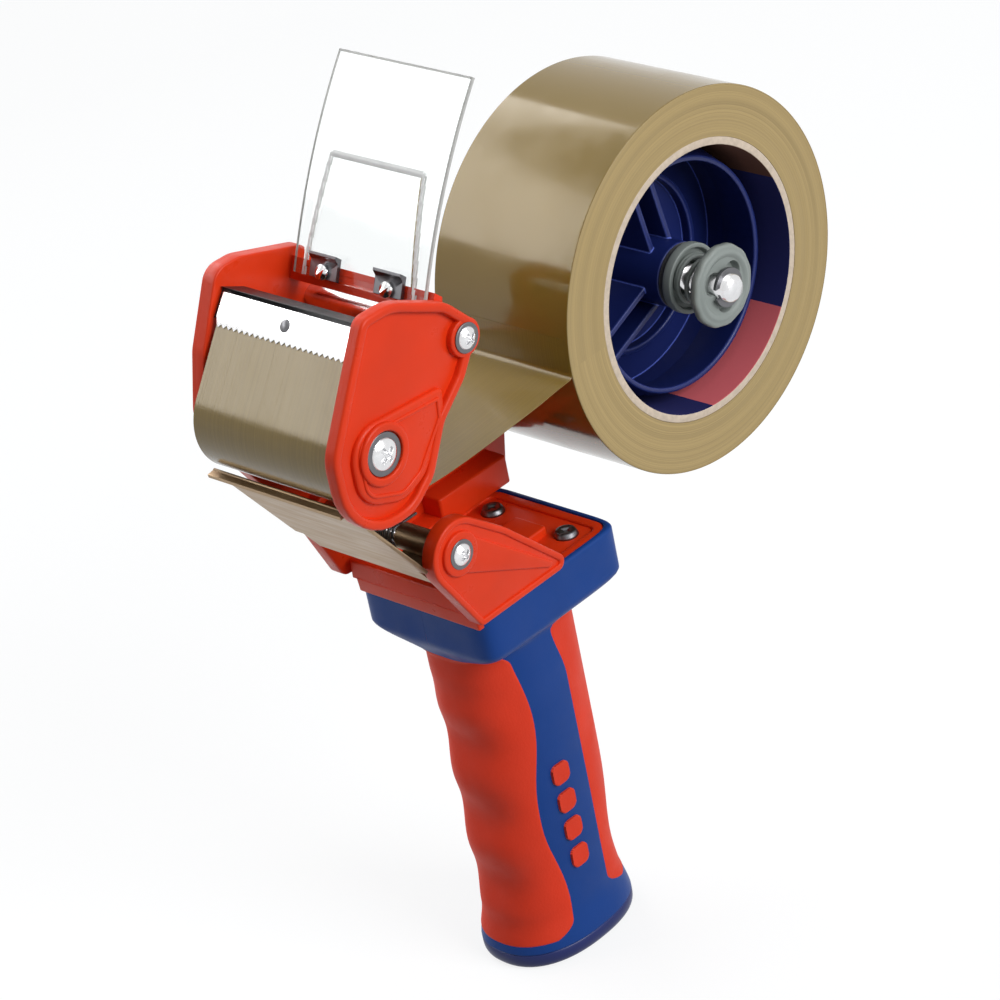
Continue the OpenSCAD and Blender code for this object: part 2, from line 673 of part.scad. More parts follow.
module flap_rivet_line(y, r, from, to) {
    p = flap_foot_at + flap_in * bar_h * 0.55 + flap_back * from;
    translate([p[0], y, p[1]]) rotate([0, 90 - heading(flap_back), 0]) cylinder(r = r, h = to - from, $fn = 32);
}

module rivet_holes() {
    for (y = rivet_at) flap_rivet_line(y, 1.55, -8, 8);
}

// Clear sheet above the clamp, in one long backward curve.
module flap() {
    root = flap_foot_at + flap_in * (clamp_h + bend_gap);
    bend_c = root + flap_back * flap_bend;
    turn = flap_h / flap_bend * 180 / PI;
    start = heading(-flap_back);
    steps = 14;
    color([0.85, 0.92, 0.95, 0.5]) side_slab(-flap_w / 2, flap_w / 2) polygon(concat(
        [for (k = [0 : steps]) polar(bend_c, flap_bend, start + turn * k / steps)],
        [for (k = [steps : -1 : 0]) polar(bend_c, flap_bend - flap_t, start + turn * k / steps)]));
}

// The part of the clear sheet that the clamp holds.
module flap_foot() {
    color([0.85, 0.92, 0.95, 0.5]) difference() {
        side_slab(-flap_w / 2, flap_w / 2) polygon([flap_foot_at + flap_in * 0.2, flap_foot_at + flap_in * clamp_h,
            flap_foot_at + flap_in * clamp_h + flap_back * flap_t, flap_foot_at + flap_in * 0.2 + flap_back * flap_t]);
        rivet_holes();
    }
}

// Two spring clips on the front of the flap's foot, each with a raised lip at its top.
clip_t = 1.2;
clip_half = 5;
module flap_clamp() {
    front = flap_foot_at - flap_back * clip_t;
    lip = flap_foot_at - flap_back * (clip_t + 1.2);
    color(dark) difference() {
        for (y = rivet_at) side_slab(y - clip_half, y + clip_half)
            polygon([flap_foot_at + flap_in * 0.3, front + flap_in * 0.6, front + flap_in * 5.2, lip + flap_in * 6.6,
                lip + flap_in * 7.4, flap_foot_at + flap_in * 6.6]);
        rivet_holes();
    }
}

module flap_rivets() {
    color(steel) for (y = rivet_at) {
        flap_rivet_line(y, 1.5, -clip_t - 0.3, flap_t + bar_d - 1);
        flap_rivet_line(y, 2.1, -clip_t - 1, -clip_t);
    }
}

// ---- roller -------------------------------------------------------------------------------------

roller_half = tape_w / 2 + 0.5;
bush_r = axle_r + 2.4;
module roller_core() {
    color([0.85, 0.85, 0.82]) difference() {
        y_bar(axle, roller_r - tyre_t, -roller_half, roller_half);
        y_bar(axle, axle_r + 1, -60, 60);
        for (side = [-1, 1]) {
            y_bar(axle, bush_r, side > 0 ? roller_half - 6 : -60, side > 0 ? 60 : 6 - roller_half);
            difference() {
                y_bar(axle, roller_r - tyre_t - 1.8, side > 0 ? roller_half - 4 : -60, side > 0 ? 60 : 4 - roller_half);
                y_bar(axle, bush_r + 1.8, -60, 60);
            }
        }
    }
}

module roller_tyre() {
    groove_n = 5;
    color(dark) difference() {
        y_bar(axle, roller_r, -roller_half, roller_half);
        y_bar(axle, roller_r - tyre_t, -60, 60);
        for (i = [0 : groove_n - 1])
            translate([axle[0], (i - (groove_n - 1) / 2) * 9, axle[1]]) rotate([90, 0, 0])
                rotate_extrude($fn = 64) translate([roller_r - 0.8, -0.6]) square([2, 1.2]);
    }
}

module roller_bushes() {
    color(steel) for (side = [-1, 1]) difference() {
        y_bar(axle, bush_r, side > 0 ? roller_half - 6 : -roller_half - 0.7, side > 0 ? roller_half + 0.7 : 6 - roller_half);
        y_bar(axle, axle_r + run_fit, -60, 60);
    }
}

// ---- reel and brake -----------------------------------------------------------------------------

reel_far = -tape_w / 2;
reel_near = tape_w / 2 - reel_recess;
reel_out = core_r - 0.2;
reel_in = reel_out - reel_wall;
web_mid = -4;
spoke_turn = 89;
boss_near = reel_near;
pad_t = 1.6;
washer_t = 1.5;
pad_y = boss_near + rest_gap;
washer_y = pad_y + pad_t;
knob_y = tape_w / 2 + 4.5;
clip_y = knob_y + knob_t + rest_gap;

module spindle() {
    color(steel) {
        y_bar(hub, spindle_r, -outer_y - rim_h - 3, washer_y + washer_t);
        y_bar(hub, spindle_r - 1, washer_y, clip_y + 2.4);
        translate([hub[0], clip_y + 2.4, hub[1]]) rotate([-90, 0, 0])
            cylinder(r1 = spindle_r - 1, r2 = spindle_r - 2.2, h = 1.2, $fn = 64);
        translate([hub[0], -outer_y - rim_h - 2 - 3, hub[1]]) rotate([-90, 30, 0])
            cylinder(r = spindle_r + 3.5, h = 3, $fn = 6);
    }
}

module reel_hub() {
    color(blue) difference() {
        union() {
            // rim
            difference() {
                y_bar(hub, reel_out, reel_far, reel_near);
                y_bar(hub, reel_in, reel_far - 1, reel_near + 1);
            }
            // stop flange
            difference() {
                y_bar(hub, stop_r, reel_far - 0.9, reel_far - 0.1);
                y_bar(hub, reel_in - 3, reel_far - 5, reel_far + 5);
            }
            y_bar(hub, reel_out - 0.5, reel_far - 0.5, reel_far + 1.5);
            // web, with a raised ring half way out
            y_bar(hub, reel_in + 0.5, web_mid - 2.4, web_mid);
            difference() {
                y_bar(hub, 26.6, web_mid - 0.5, web_mid + 3.2);
                y_bar(hub, 24.8, web_mid - 2, web_mid + 5);
            }
            y_bar(hub, boss_r, reel_far - 0.9, boss_near);
            // box spokes: two ribs each, tapering down towards the rim
            for (i = [0 : spoke_n - 1]) for (edge = [-1, 1])
                translate([hub[0], 0, hub[1]]) rotate([0, 360 / spoke_n * i - spoke_turn, 0])
                    translate([0, 0, edge * (spoke_w / 2) - 0.9]) linear_extrude(1.8)
                        polygon([[boss_r - 2, web_mid - 1], [reel_in + 0.6, web_mid - 1], [reel_in + 0.6, web_mid + 11],
                            [boss_r - 2, web_mid + 16]]);
        }
        y_bar(hub, spindle_r + run_fit, -60, 60);
        // open back of the far side
        difference() {
            y_bar(hub, reel_in - 3, -60, reel_far + 1.6);
            y_bar(hub, boss_r, -60, 60);
        }
        // slots that make the rim's spring fingers
        for (i = [0 : spoke_n - 1]) for (edge = [-1, 1])
            translate([hub[0], 0, hub[1]]) rotate([0, 360 / spoke_n * i - 40 + edge * 16, 0])
                translate([reel_in - 1, web_mid + 2, -0.8]) cube([reel_wall + 4, 60, 1.6]);
    }
}

module brake_pad() {
    color(dark) difference() {
        y_bar(hub, boss_r, pad_y, washer_y);
        y_bar(hub, spindle_r + run_fit, -60, 60);
    }
}

module pressure_washer() {
    color([0.5, 0.53, 0.55]) difference() {
        union() {
            y_bar(hub, boss_r + 0.6, washer_y, washer_y + washer_t);
            difference() {
                y_bar(hub, boss_r + 0.6, washer_y, washer_y + 3);
                y_bar(hub, boss_r - 0.8, washer_y - 1, washer_y + 4);
            }
        }
        y_bar(hub, spindle_r + run_fit, -60, 60);
    }
}

// Compression spring between the pressure washer and the knob, with closed end turns.
module brake_spring() {
    r = spindle_r + 1 + brake_wire / 2;
    from = washer_y + washer_t + brake_wire / 2 + 0.05;
    to = knob_y - brake_wire / 2 - 0.1;
    turns = 4;
    function along(a) = from + (to - from) * ease((a - 180) / (360 * turns - 360));
    color([0.55, 0.56, 0.58])
        sweep([for (a = [0 : 20 : 360 * turns]) [hub[0] + r * cos(a), along(a), hub[1] + r * sin(a)]],
            brake_wire / 2, 6, [0, 1, 0]);
}

module brake_knob() {
    color([0.5, 0.53, 0.55]) difference() {
        union() {
            y_bar(hub, knob_r, knob_y + 1, knob_y + knob_t - 1);
            translate([hub[0], knob_y + knob_t - 1, hub[1]]) rotate([-90, 0, 0])
                cylinder(r1 = knob_r, r2 = knob_r - 1, h = 1, $fn = 64);
            y_bar(hub, knob_r - 1.5, knob_y, knob_y + 1 + eps);
            // grip flutes between knurls
            for (i = [0 : 11]) translate([hub[0], 0, hub[1]]) rotate([0, 30 * i, 0])
                translate([knob_r - 0.4, knob_y + 1, 0]) rotate([-90, 0, 0]) cylinder(r = 1.2, h = knob_t - 2.2, $fn = 24);
        }
        y_bar(hub, spindle_r - 1 + run_fit, -60, 60);
        // three-lobed finger recess
        for (i = [0 : 2]) translate([hub[0], 0, hub[1]]) rotate([0, 120 * i + 30, 0])
            translate([3.7, knob_y + knob_t - 2.6, 0]) rotate([-90, 0, 0]) cylinder(r = 3.3, h = 5, $fn = 40);
    }
}

module spindle_clip() {
    color(dark) difference() {
        y_bar(hub, spindle_r + 0.6, clip_y, clip_y + 1);
        y_bar(hub, spindle_r - 1 + 0.02, 0, 80);
        translate([hub[0], clip_y - 1, hub[1] - 1.6]) cube([20, 4, 3.2]);
    }
}

// ---- tape ---------------------------------------------------------------------------------------

module tape_core() {
    color([0.86, 0.80, 0.70]) difference() {
        y_bar(hub, core_r + core_wall, -tape_w / 2, tape_w / 2);
        y_bar(hub, core_r, -60, 60);
    }
}

module tape_roll() {
    color([0.60, 0.50, 0.33]) difference() {
        y_bar(hub, roll_r, -tape_w / 2, tape_w / 2);
        y_bar(hub, core_r + core_wall, -60, 60);
    }
}

// One layer of tape: off the roll, in a slack sag under the roller, up its front and to the blade.
sag_leave = -62;
function sag(t, a, b, c, d) =
    pow(1 - t, 3) * a + 3 * pow(1 - t, 2) * t * b + 3 * (1 - t) * t * t * c + t * t * t * d;
function sag_turn(t, a, b, c, d) =
    unit(pow(1 - t, 2) * (b - a) + 2 * (1 - t) * t * (c - b) + t * t * (d - c));

module tape_web() {
    peel_z = hub[1] - 3.5;
    peel = [hub[0] + sqrt(pow(roll_r + rest_gap, 2) - pow(peel_z - hub[1], 2)), peel_z];
    touch = polar(axle, web_out, sag_leave);
    pull = polar(touch, -23, sag_leave + 90);
    ahead = peel + [32, -1];
    end = blade_edge + tilt_dir * 0.5 - tilt_out * (rest_gap + web_t);
    leave = heading(end - axle) - acos(web_in / norm(end - axle));
    foot = polar(axle, web_in, leave);
    rise = [end[1] - foot[1], foot[0] - end[0]] / norm(end - foot);
    sag_n = 14;
    arc_n = 16;
    color([0.62, 0.55, 0.38]) side_slab(-tape_w / 2, tape_w / 2) polygon(concat(
        [for (k = [0 : sag_n - 1]) sag(k / sag_n, peel, ahead, pull, touch)],
        [for (k = [0 : arc_n]) polar(axle, web_out, sag_leave + (leave - sag_leave) * k / arc_n)],
        [end + rise * web_t, end],
        [for (k = [arc_n : -1 : 0]) polar(axle, web_in, sag_leave + (leave - sag_leave) * k / arc_n)],
        [for (k = [sag_n - 1 : -1 : 0]) sag(k / sag_n, peel, ahead, pull, touch) +
            web_t * left(sag_turn(k / sag_n, peel, ahead, pull, touch))]));
}

handle_core();
front_grip();
rear_grip();
stripe_pads();
foot_cap();
main_frame();
deck_screws();
near_plate();
front_axle();
axle_screws();
tie_bar();
tie_screws();
lug_axle();
lug_screws();
guide_plate();
guide_spring();
blade_carrier();
blade();
blade_rivet();
flap_bar();
flap_foot();
flap();
flap_clamp();
flap_rivets();
roller_core();
roller_tyre();
roller_bushes();
spindle();
reel_hub();
brake_pad();
pressure_washer();
brake_spring();
brake_knob();
spindle_clip();
tape_core();
tape_roll();
tape_web();
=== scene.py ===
"""Looks for the pistol-grip packing tape dispenser.

Metres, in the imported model's own frame: +X forward to the application roller, +Y to the open
side of the spindle, +Z up, origin in the middle of the handle's foot. Shapes are worked out in
millimetres, and scaled by MM as each mesh is made.
"""
import json

import bmesh
import bpy
import numpy as np
from mathutils import Matrix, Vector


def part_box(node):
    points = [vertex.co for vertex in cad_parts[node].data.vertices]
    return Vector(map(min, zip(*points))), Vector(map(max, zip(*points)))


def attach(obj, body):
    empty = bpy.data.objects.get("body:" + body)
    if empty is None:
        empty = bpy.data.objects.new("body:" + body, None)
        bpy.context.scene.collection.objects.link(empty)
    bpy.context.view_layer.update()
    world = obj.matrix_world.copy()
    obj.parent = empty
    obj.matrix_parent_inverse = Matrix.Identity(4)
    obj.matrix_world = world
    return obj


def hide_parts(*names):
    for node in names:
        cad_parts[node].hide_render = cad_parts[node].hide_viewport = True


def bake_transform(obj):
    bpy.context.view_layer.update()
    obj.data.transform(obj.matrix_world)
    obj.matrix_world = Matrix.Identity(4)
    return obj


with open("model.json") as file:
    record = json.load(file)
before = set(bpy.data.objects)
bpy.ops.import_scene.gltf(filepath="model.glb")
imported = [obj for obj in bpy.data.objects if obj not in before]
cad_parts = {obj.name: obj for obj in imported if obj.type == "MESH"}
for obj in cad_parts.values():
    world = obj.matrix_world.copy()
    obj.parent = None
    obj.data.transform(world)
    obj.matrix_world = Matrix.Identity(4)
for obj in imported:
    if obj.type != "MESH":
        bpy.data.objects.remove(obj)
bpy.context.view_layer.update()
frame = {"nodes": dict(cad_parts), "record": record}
nodes = frame["nodes"]

MM = 0.001
TAU = 2 * np.pi
QUARTER = np.radians(np.linspace(0, 90, 5))


def unit(v):
    return v / np.maximum(np.linalg.norm(v, axis=-1, keepdims=True), 1e-9)


def left(v):
    """The vector turned a quarter left."""
    return np.stack([-v[..., 1], v[..., 0]], -1)


def heading(angle):
    """Unit vector at an angle in radians."""
    return np.stack([np.cos(angle), np.sin(angle)], -1)


def ease(t):
    """0 below 0, 1 above 1, and smooth between."""
    t = np.clip(t, 0, 1)
    return t * t * (3 - 2 * t)


# Places shared by several pieces, as X and Z
HUB = np.array([-77.5, 178.0])        # spindle's axis
AXLE = np.array([52.3, 193.4])        # application roller's axis
TIE = AXLE + [-35.4, 16]              # tie bar between the head plates
LUG = np.array([31.4, 150.7])         # guide plate's axle
ROLL_R = 55.0
CORE_OUT, CORE_IN = 40.3, 38.0
HALF_W = 25.0                         # half the tape's width
ROLLER_R = 14.9
BLADE_EDGE = AXLE + [-0.6, 26.3]
BLADE_UP = heading(np.radians(129))
BLADE_OUT = -left(BLADE_UP)
FLAP_FOOT = AXLE + [-28.4, 27.0]
FLAP_IN = heading(np.radians(116))
FLAP_BACK = left(FLAP_IN)


# ---- camera, light and floor --------------------------------------------------------------------

CAMERA_AXES = ((-0.66745, 0.72343, -0.17650), (-0.46958, -0.22494, 0.85376), (0.57793, 0.65272, 0.48985))
CAMERA_PLACE = (0.62783, 0.72042, 0.67811)
LENS, SENSOR = 144, 36

MIDDLE = (-0.01, 0, 0.16)
# name, place, what it faces, size (wide, high) and power
LAMPS = (("near key", (-0.20, 1.30, 0.85), MIDDLE, (0.9, 0.9), 17.5),
         ("film gloss", (0.375, -0.95, 0.935), (0.375, 0, 0.935), (1.95, 0.65), 16),
         ("top fill", (-0.25, 0.1, 1.5), MIDDLE, (0.9, 0.9), 3))
SKY = (0.93, 0.96, 1.0, 1)
SKY_BEHIND, SKY_AHEAD = 0.40, 0.08    # strength of the surroundings
WHITE = (1, 1, 1, 1)
BENCH = (0.30, 0.31, 0.315, 1)
BENCH_HALF = 4.0
BENCH_GLOW = (2.70, 3.33)             # in the middle, and far out where it meets the white
BENCH_FADE = (0.7, 2.2)               # metres from the middle
BENCH_SHARE = 0.3


def link(made):
    bpy.context.scene.collection.objects.link(made)
    return made


def placed(axes, place):
    """Matrix of an object with these X, Y and Z axes at this place."""
    turn = Matrix(axes).transposed().to_4x4()
    turn.translation = place
    return turn


def place_camera():
    """A long lens from the near side, ahead and above; it leans so the handle runs down to the right."""
    camera = link(bpy.data.objects.new("camera", bpy.data.cameras.new("camera")))
    camera.data.lens, camera.data.sensor_width, camera.data.clip_start = LENS, SENSOR, 0.05
    camera.matrix_world = placed(CAMERA_AXES, CAMERA_PLACE)
    bpy.context.scene.camera = camera


def soft_panel(name, place, target, size, power):
    """An area lamp that faces the target."""
    lamp = bpy.data.lights.new(name, "AREA")
    lamp.shape = "RECTANGLE"
    lamp.size, lamp.size_y = size
    lamp.energy = power
    place, target = np.array(place, float), np.array(target, float)
    z = (place - target) / np.linalg.norm(place - target)
    x = np.cross((0, 0, 1), z)
    x /= np.linalg.norm(x)
    link(bpy.data.objects.new(name, lamp)).matrix_world = placed((x, np.cross(z, x), z), place)


def add_node(tree, kind, sockets=None, **settings):
    """A shader node with these settings, and these values in its sockets."""
    made = tree.nodes.new("ShaderNode" + kind)
    for name, value in settings.items():
        setattr(made, name, value)
    for socket, value in (sockets or {}).items():
        made.inputs[socket].default_value = value
    return made


def rays_that_see_white(tree):
    """1 for rays from the camera, off gloss and through clear pieces, else 0."""
    path = add_node(tree, "LightPath")
    total = path.outputs["Is Camera Ray"]
    for kind in ("Is Glossy Ray", "Is Transmission Ray"):
        both = add_node(tree, "Math", operation="MAXIMUM")
        tree.links.new(total, both.inputs[0])
        tree.links.new(path.outputs[kind], both.inputs[1])
        total = both.outputs[0]
    return total


def mix_to_output(tree, kind, share, plain, seen):
    """Sends one shader to the output, with the share of another laid over it."""
    mix, out = add_node(tree, "MixShader"), add_node(tree, kind)
    for source, target in ((share, mix.inputs[0]), (plain.outputs[0], mix.inputs[1]),
                           (seen.outputs[0], mix.inputs[2]), (mix.outputs[0], out.inputs["Surface"])):
        tree.links.new(source, target)


def blank_tree(owner):
    owner.use_nodes = True
    owner.node_tree.nodes.clear()
    return owner.node_tree


def light_the_studio():
    """Pale surroundings, dimmer ahead; a large panel over the far side for the film's gloss, and a near key."""
    bpy.context.scene.world = bpy.data.worlds.new("studio")
    tree = blank_tree(bpy.context.scene.world)
    around = add_node(tree, "Background", {"Color": SKY})
    ahead, split = add_node(tree, "TexCoord"), add_node(tree, "SeparateXYZ")
    level = add_node(tree, "MapRange", {"From Min": -1, "From Max": 1, "To Min": SKY_BEHIND, "To Max": SKY_AHEAD})
    tree.links.new(ahead.outputs["Generated"], split.inputs[0])
    tree.links.new(split.outputs[0], level.inputs["Value"])
    tree.links.new(level.outputs["Result"], around.inputs["Strength"])
    seen = add_node(tree, "Background", {"Color": WHITE, "Strength": 1.0})
    mix_to_output(tree, "OutputWorld", rays_that_see_white(tree), around, seen)
    for lamp in LAMPS:
        soft_panel(*lamp)


def lay_floor():
    """A pale bench top that keeps a faint shadow and fades into the white towards its edges."""
    half = BENCH_HALF
    mesh = bpy.data.meshes.new("floor")
    mesh.from_pydata([(-half, -half, 0), (half, -half, 0), (half, half, 0), (-half, half, 0)], [], [(0, 1, 2, 3)])
    floor = link(bpy.data.objects.new("floor", mesh))
    paint = bpy.data.materials.new("bench top")
    tree = blank_tree(paint)
    matt = add_node(tree, "BsdfDiffuse", {"Color": BENCH})
    white = add_node(tree, "Emission", {"Color": WHITE})
    share = add_node(tree, "Math", {1: BENCH_SHARE}, operation="MULTIPLY")
    tree.links.new(rays_that_see_white(tree), share.inputs[0])
    place, reach = add_node(tree, "TexCoord"), add_node(tree, "VectorMath", operation="LENGTH")
    fade = add_node(tree, "MapRange", {"From Min": BENCH_FADE[0], "From Max": BENCH_FADE[1],
                                       "To Min": BENCH_GLOW[0], "To Max": BENCH_GLOW[1]})
    tree.links.new(place.outputs["Object"], reach.inputs[0])
    tree.links.new(reach.outputs["Value"], fade.inputs["Value"])
    tree.links.new(fade.outputs["Result"], white.inputs["Strength"])
    mix_to_output(tree, "OutputMaterial", share.outputs[0], matt, white)
    mesh.materials.append(paint)


# ---- finishes -----------------------------------------------------------------------------------

class Finish:
    """A procedural finish: one Principled shader, with patterns on Object coordinates or the piece's UV map."""

    def __init__(self, name, rough, metallic=0.0, **sockets):
        self.material = bpy.data.materials.new(name)
        self.material.use_nodes = True
        self.tree = self.material.node_tree
        self.shader = self.tree.nodes["Principled BSDF"]
        for socket, value in {"Roughness": rough, "Metallic": metallic, **sockets}.items():
            self.shader.inputs[socket.replace("_", " ")].default_value = value
        self.coords = self.node("TexCoord")
        self.normal = None

    def node(self, kind, sockets=None, **settings):
        return add_node(self.tree, kind, sockets, **settings)

    def join(self, source, target):
        self.tree.links.new(source, target)

    def grain(self, scale, detail=2.0, stretch=(1, 1, 1), on="Object"):
        """Noise from 0 to 1; stretch above 1 makes the pattern finer that way."""
        place = self.node("Mapping", {"Scale": stretch})
        noise = self.node("TexNoise", {"Scale": scale, "Detail": detail, "Roughness": 0.55})
        self.join(self.coords.outputs[on], place.inputs["Vector"])
        self.join(place.outputs["Vector"], noise.inputs["Vector"])
        return noise.outputs["Fac"]

    def between(self, fac, low, high, socket, at=(0.3, 0.7)):
        """Spreads a pattern over a range of numbers, or of colours, and feeds it to the shader."""
        if np.ndim(low):
            ramp = self.node("ValToRGB")
            for stop, place, colour in zip(ramp.color_ramp.elements, at, (low, high)):
                stop.position, stop.color = place, (*colour, 1)
            self.join(fac, ramp.inputs["Fac"])
            spread = ramp.outputs["Color"]
        else:
            span = self.node("MapRange", {"From Min": at[0], "From Max": at[1], "To Min": low, "To Max": high})
            self.join(fac, span.inputs["Value"])
            spread = span.outputs["Result"]
        self.join(spread, self.shader.inputs[socket])
        return spread

    def rounded_normal(self, radius):
        """The normal as if edges were rounded to this radius, in millimetres."""
        return self.node("Bevel", {"Radius": radius * MM}, samples=6).outputs["Normal"]

    def soften_edges(self, radius):
        """Lets edges catch the light as rounded ones do."""
        self.normal = self.rounded_normal(radius)
        self.join(self.normal, self.shader.inputs["Normal"])

    def relief(self, fac, height, strength=1.0):
        """Raises the surface by the pattern, height in millimetres, on top of what is there already."""
        bump = self.node("Bump", {"Strength": strength, "Distance": height * MM})
        self.join(fac, bump.inputs["Height"])
        if self.normal:
            self.join(self.normal, bump.inputs["Normal"])
        self.normal = bump.outputs["Normal"]
        self.join(self.normal, self.shader.inputs["Normal"])

    def tinted(self, under, colour, share):
        """A colour laid over another by its share."""
        mix = self.node("Mix", {7: (*colour, 1)}, data_type="RGBA")
        self.join(share, mix.inputs[0])
        self.join(under, mix.inputs[6])
        return mix.outputs[2]

    def paint_edge_highlight(self, colour, radius, under):
        """Tints the narrow edges lighter as a painted highlight, found where a rounded normal turns away from the true
        one.
        """
        dot = self.node("VectorMath", operation="DOT_PRODUCT")
        self.join(self.rounded_normal(radius), dot.inputs[0])
        self.join(self.node("NewGeometry").outputs["Normal"], dot.inputs[1])
        # how much painted highlight each point gets, from none on flat faces to 0.9 on narrow edges
        edge = self.node("MapRange", {"From Min": 0.998, "From Max": 0.93, "To Min": 0.0, "To Max": 0.9})
        self.join(dot.outputs["Value"], edge.inputs["Value"])
        self.join(self.tinted(under, colour, edge.outputs["Result"]), self.shader.inputs["Base Color"])


def shade(colour, factor):
    return tuple(float(c) * factor for c in colour)


def moulded(name, colour, rough, spread=0.07, grain_height=0.025, edge=0.35, **sockets):
    """Moulded plastic: a fine mould texture, faint flow clouds in the colour and handled, uneven gloss."""
    f = Finish(name, rough, **sockets)
    f.between(f.grain(38, 3), shade(colour, 1 - spread), shade(colour, 1 + spread), "Base Color")
    f.between(f.grain(120, 4), rough - 0.07, rough + 0.09, "Roughness")
    if edge:
        f.soften_edges(edge)
    f.relief(f.grain(2600, 1.5), grain_height)
    return f.material


def soft_grip(name, colour):
    """Soft over-moulding: matt, with a fine pebble and a dusting where it is handled."""
    f = Finish(name, 0.62, Specular_IOR_Level=0.30, Sheen_Weight=0.04, Sheen_Roughness=0.5)
    f.between(f.grain(30, 4), shade(colour, 0.90), shade(colour, 1.10), "Base Color")
    f.between(f.grain(90, 4), 0.52, 0.70, "Roughness")
    cells = f.node("TexVoronoi", {"Scale": 1500})
    f.join(f.coords.outputs["Object"], cells.inputs["Vector"])
    f.relief(cells.outputs["Distance"], 0.035, 0.8)
    return f.material


def metal(name, colour, rough, streak=(1, 1, 1), spread=0.06, edge=0.2, scale=400):
    """Bare or plated metal with fine working marks along one way and uneven gloss."""
    f = Finish(name, rough, metallic=1.0)
    f.between(f.grain(scale, 3, streak), shade(colour, 1 - spread), shade(colour, 1 + spread), "Base Color")
    f.between(f.grain(scale * 0.4, 4, streak), rough - 0.06, rough + 0.10, "Roughness")
    f.soften_edges(edge)
    f.relief(f.grain(scale * 2, 2, streak), 0.006)
    return f.material


def film(name, colour, rough, along):
    """Glossy film: faint draw lines along the tape, small dimples of the winding under it."""
    f = Finish(name, rough, Specular_IOR_Level=0.56, Specular_Tint=(1.0, 0.90, 0.72, 1),
               Coat_Weight=0.14, Coat_Roughness=0.05, Coat_IOR=1.5)
    lines = f.grain(60, 3, along, "UV")
    f.between(lines, shade(colour, 0.90), shade(colour, 1.12), "Base Color")
    f.between(f.grain(70, 3), rough - 0.05, rough + 0.08, "Roughness")
    f.relief(lines, 0.05)
    f.relief(f.grain(55, 2), 0.02, 0.5)
    return f.material


def wound_side(name, colour):
    """The matt side of the roll: one fine ring per layer, bands of slightly different shade, small nicks."""
    f = Finish(name, 0.48, Specular_IOR_Level=0.4)
    rings = f.grain(4200, 2, (0.0004, 1, 1), "UV")
    bands = f.grain(330, 3, (0.0015, 1, 1), "UV")
    both = f.node("Mix", {"Factor": 0.45}, data_type="FLOAT")
    f.join(rings, both.inputs["A"])
    f.join(bands, both.inputs["B"])
    f.between(both.outputs["Result"], shade(colour, 0.80), shade(colour, 1.16), "Base Color", (0.34, 0.66))
    f.relief(rings, 0.06, 0.8)
    f.relief(f.grain(160, 4), 0.05, 0.5)
    return f.material


# Fields on the core's inner wall: colour, first and last angle in degrees. The first, dark brown field is painted shade
# on the bare board at the top; the navy and red fields are a plain paper label.
LABEL_AND_PAINTED_SHADE = (((0.13, 0.055, 0.035), -80, -24), ((0.011, 0.014, 0.095), -24, 38), ((0.66, 0.13, 0.15), 38, 96),
         ((0.011, 0.014, 0.095), 96, 170))


def board(name, colour):
    """Kraft board of the core: fibres; its inner wall carries a plain paper label in colour fields, unprinted, and a
    dark brown field of painted shade.
    """
    f = Finish(name, 0.82, Specular_IOR_Level=0.25)
    shown = f.between(f.grain(700, 4), shade(colour, 0.88), shade(colour, 1.08), "Base Color")
    f.relief(f.grain(2200, 3), 0.03)
    place = f.node("SeparateXYZ")
    f.join(f.coords.outputs["Object"], place.inputs[0])

    def calc(operation, *terms):
        made = f.node("Math", operation=operation)
        for socket, term in zip(made.inputs, terms):
            if hasattr(term, "links"):
                f.join(term, socket)
            else:
                socket.default_value = term
        return made.outputs[0]

    x = calc("SUBTRACT", place.outputs[0], HUB[0] * MM)
    z = calc("SUBTRACT", place.outputs[2], HUB[1] * MM)
    radius = calc("POWER", calc("ADD", calc("MULTIPLY", x, x), calc("MULTIPLY", z, z)), 0.5)
    inner = calc("LESS_THAN", radius, (CORE_IN + 0.12) * MM)
    # turned half way round, so the seam of the angle lies away from the label
    angle = calc("ARCTAN2", calc("MULTIPLY", z, -1.0), calc("MULTIPLY", x, -1.0))
    # each field tints the inner wall; the dark brown one is painted shade, the others are label print
    for tint, first, last in LABEL_AND_PAINTED_SHADE:
        inside = calc("MULTIPLY", calc("GREATER_THAN", angle, np.radians(first)),
                      calc("LESS_THAN", angle, np.radians(last)))
        shown = f.tinted(shown, tint, calc("MULTIPLY", inside, inner))
    f.join(shown, f.shader.inputs["Base Color"])
    return f.material


def hub_blue(name, colour, edge):
    """Deep blue moulding whose narrow edges are tinted lighter: a painted highlight where light would catch them."""
    f = Finish(name, 0.34, Specular_IOR_Level=0.32)
    under = f.between(f.grain(38, 3), shade(colour, 0.85), shade(colour, 1.15), "Base Color")
    # edge is the colour of the painted highlight on the narrow edges
    f.paint_edge_highlight(edge, 0.6, under)
    f.relief(f.grain(1800, 2), 0.012)
    return f.material


def sheet_edge(name, colour):
    """Sawn edge of the clear sheet: matt and grey, with fine saw marks."""
    f = Finish(name, 0.55)
    f.between(f.grain(900, 3, (1, 0.2, 1)), shade(colour, 0.9), shade(colour, 1.08), "Base Color")
    f.relief(f.grain(1600, 2), 0.02)
    return f.material


def clear_sheet(name):
    """Clear hard sheet with faint scuffs."""
    f = Finish(name, 0.04, Transmission_Weight=1.0, IOR=1.5, Specular_IOR_Level=0.5, Base_Color=(0.95, 0.97, 0.965, 1))
    f.between(f.grain(45, 5), 0.02, 0.09, "Roughness")
    f.relief(f.grain(25, 2), 0.02, 0.3)
    return f.material


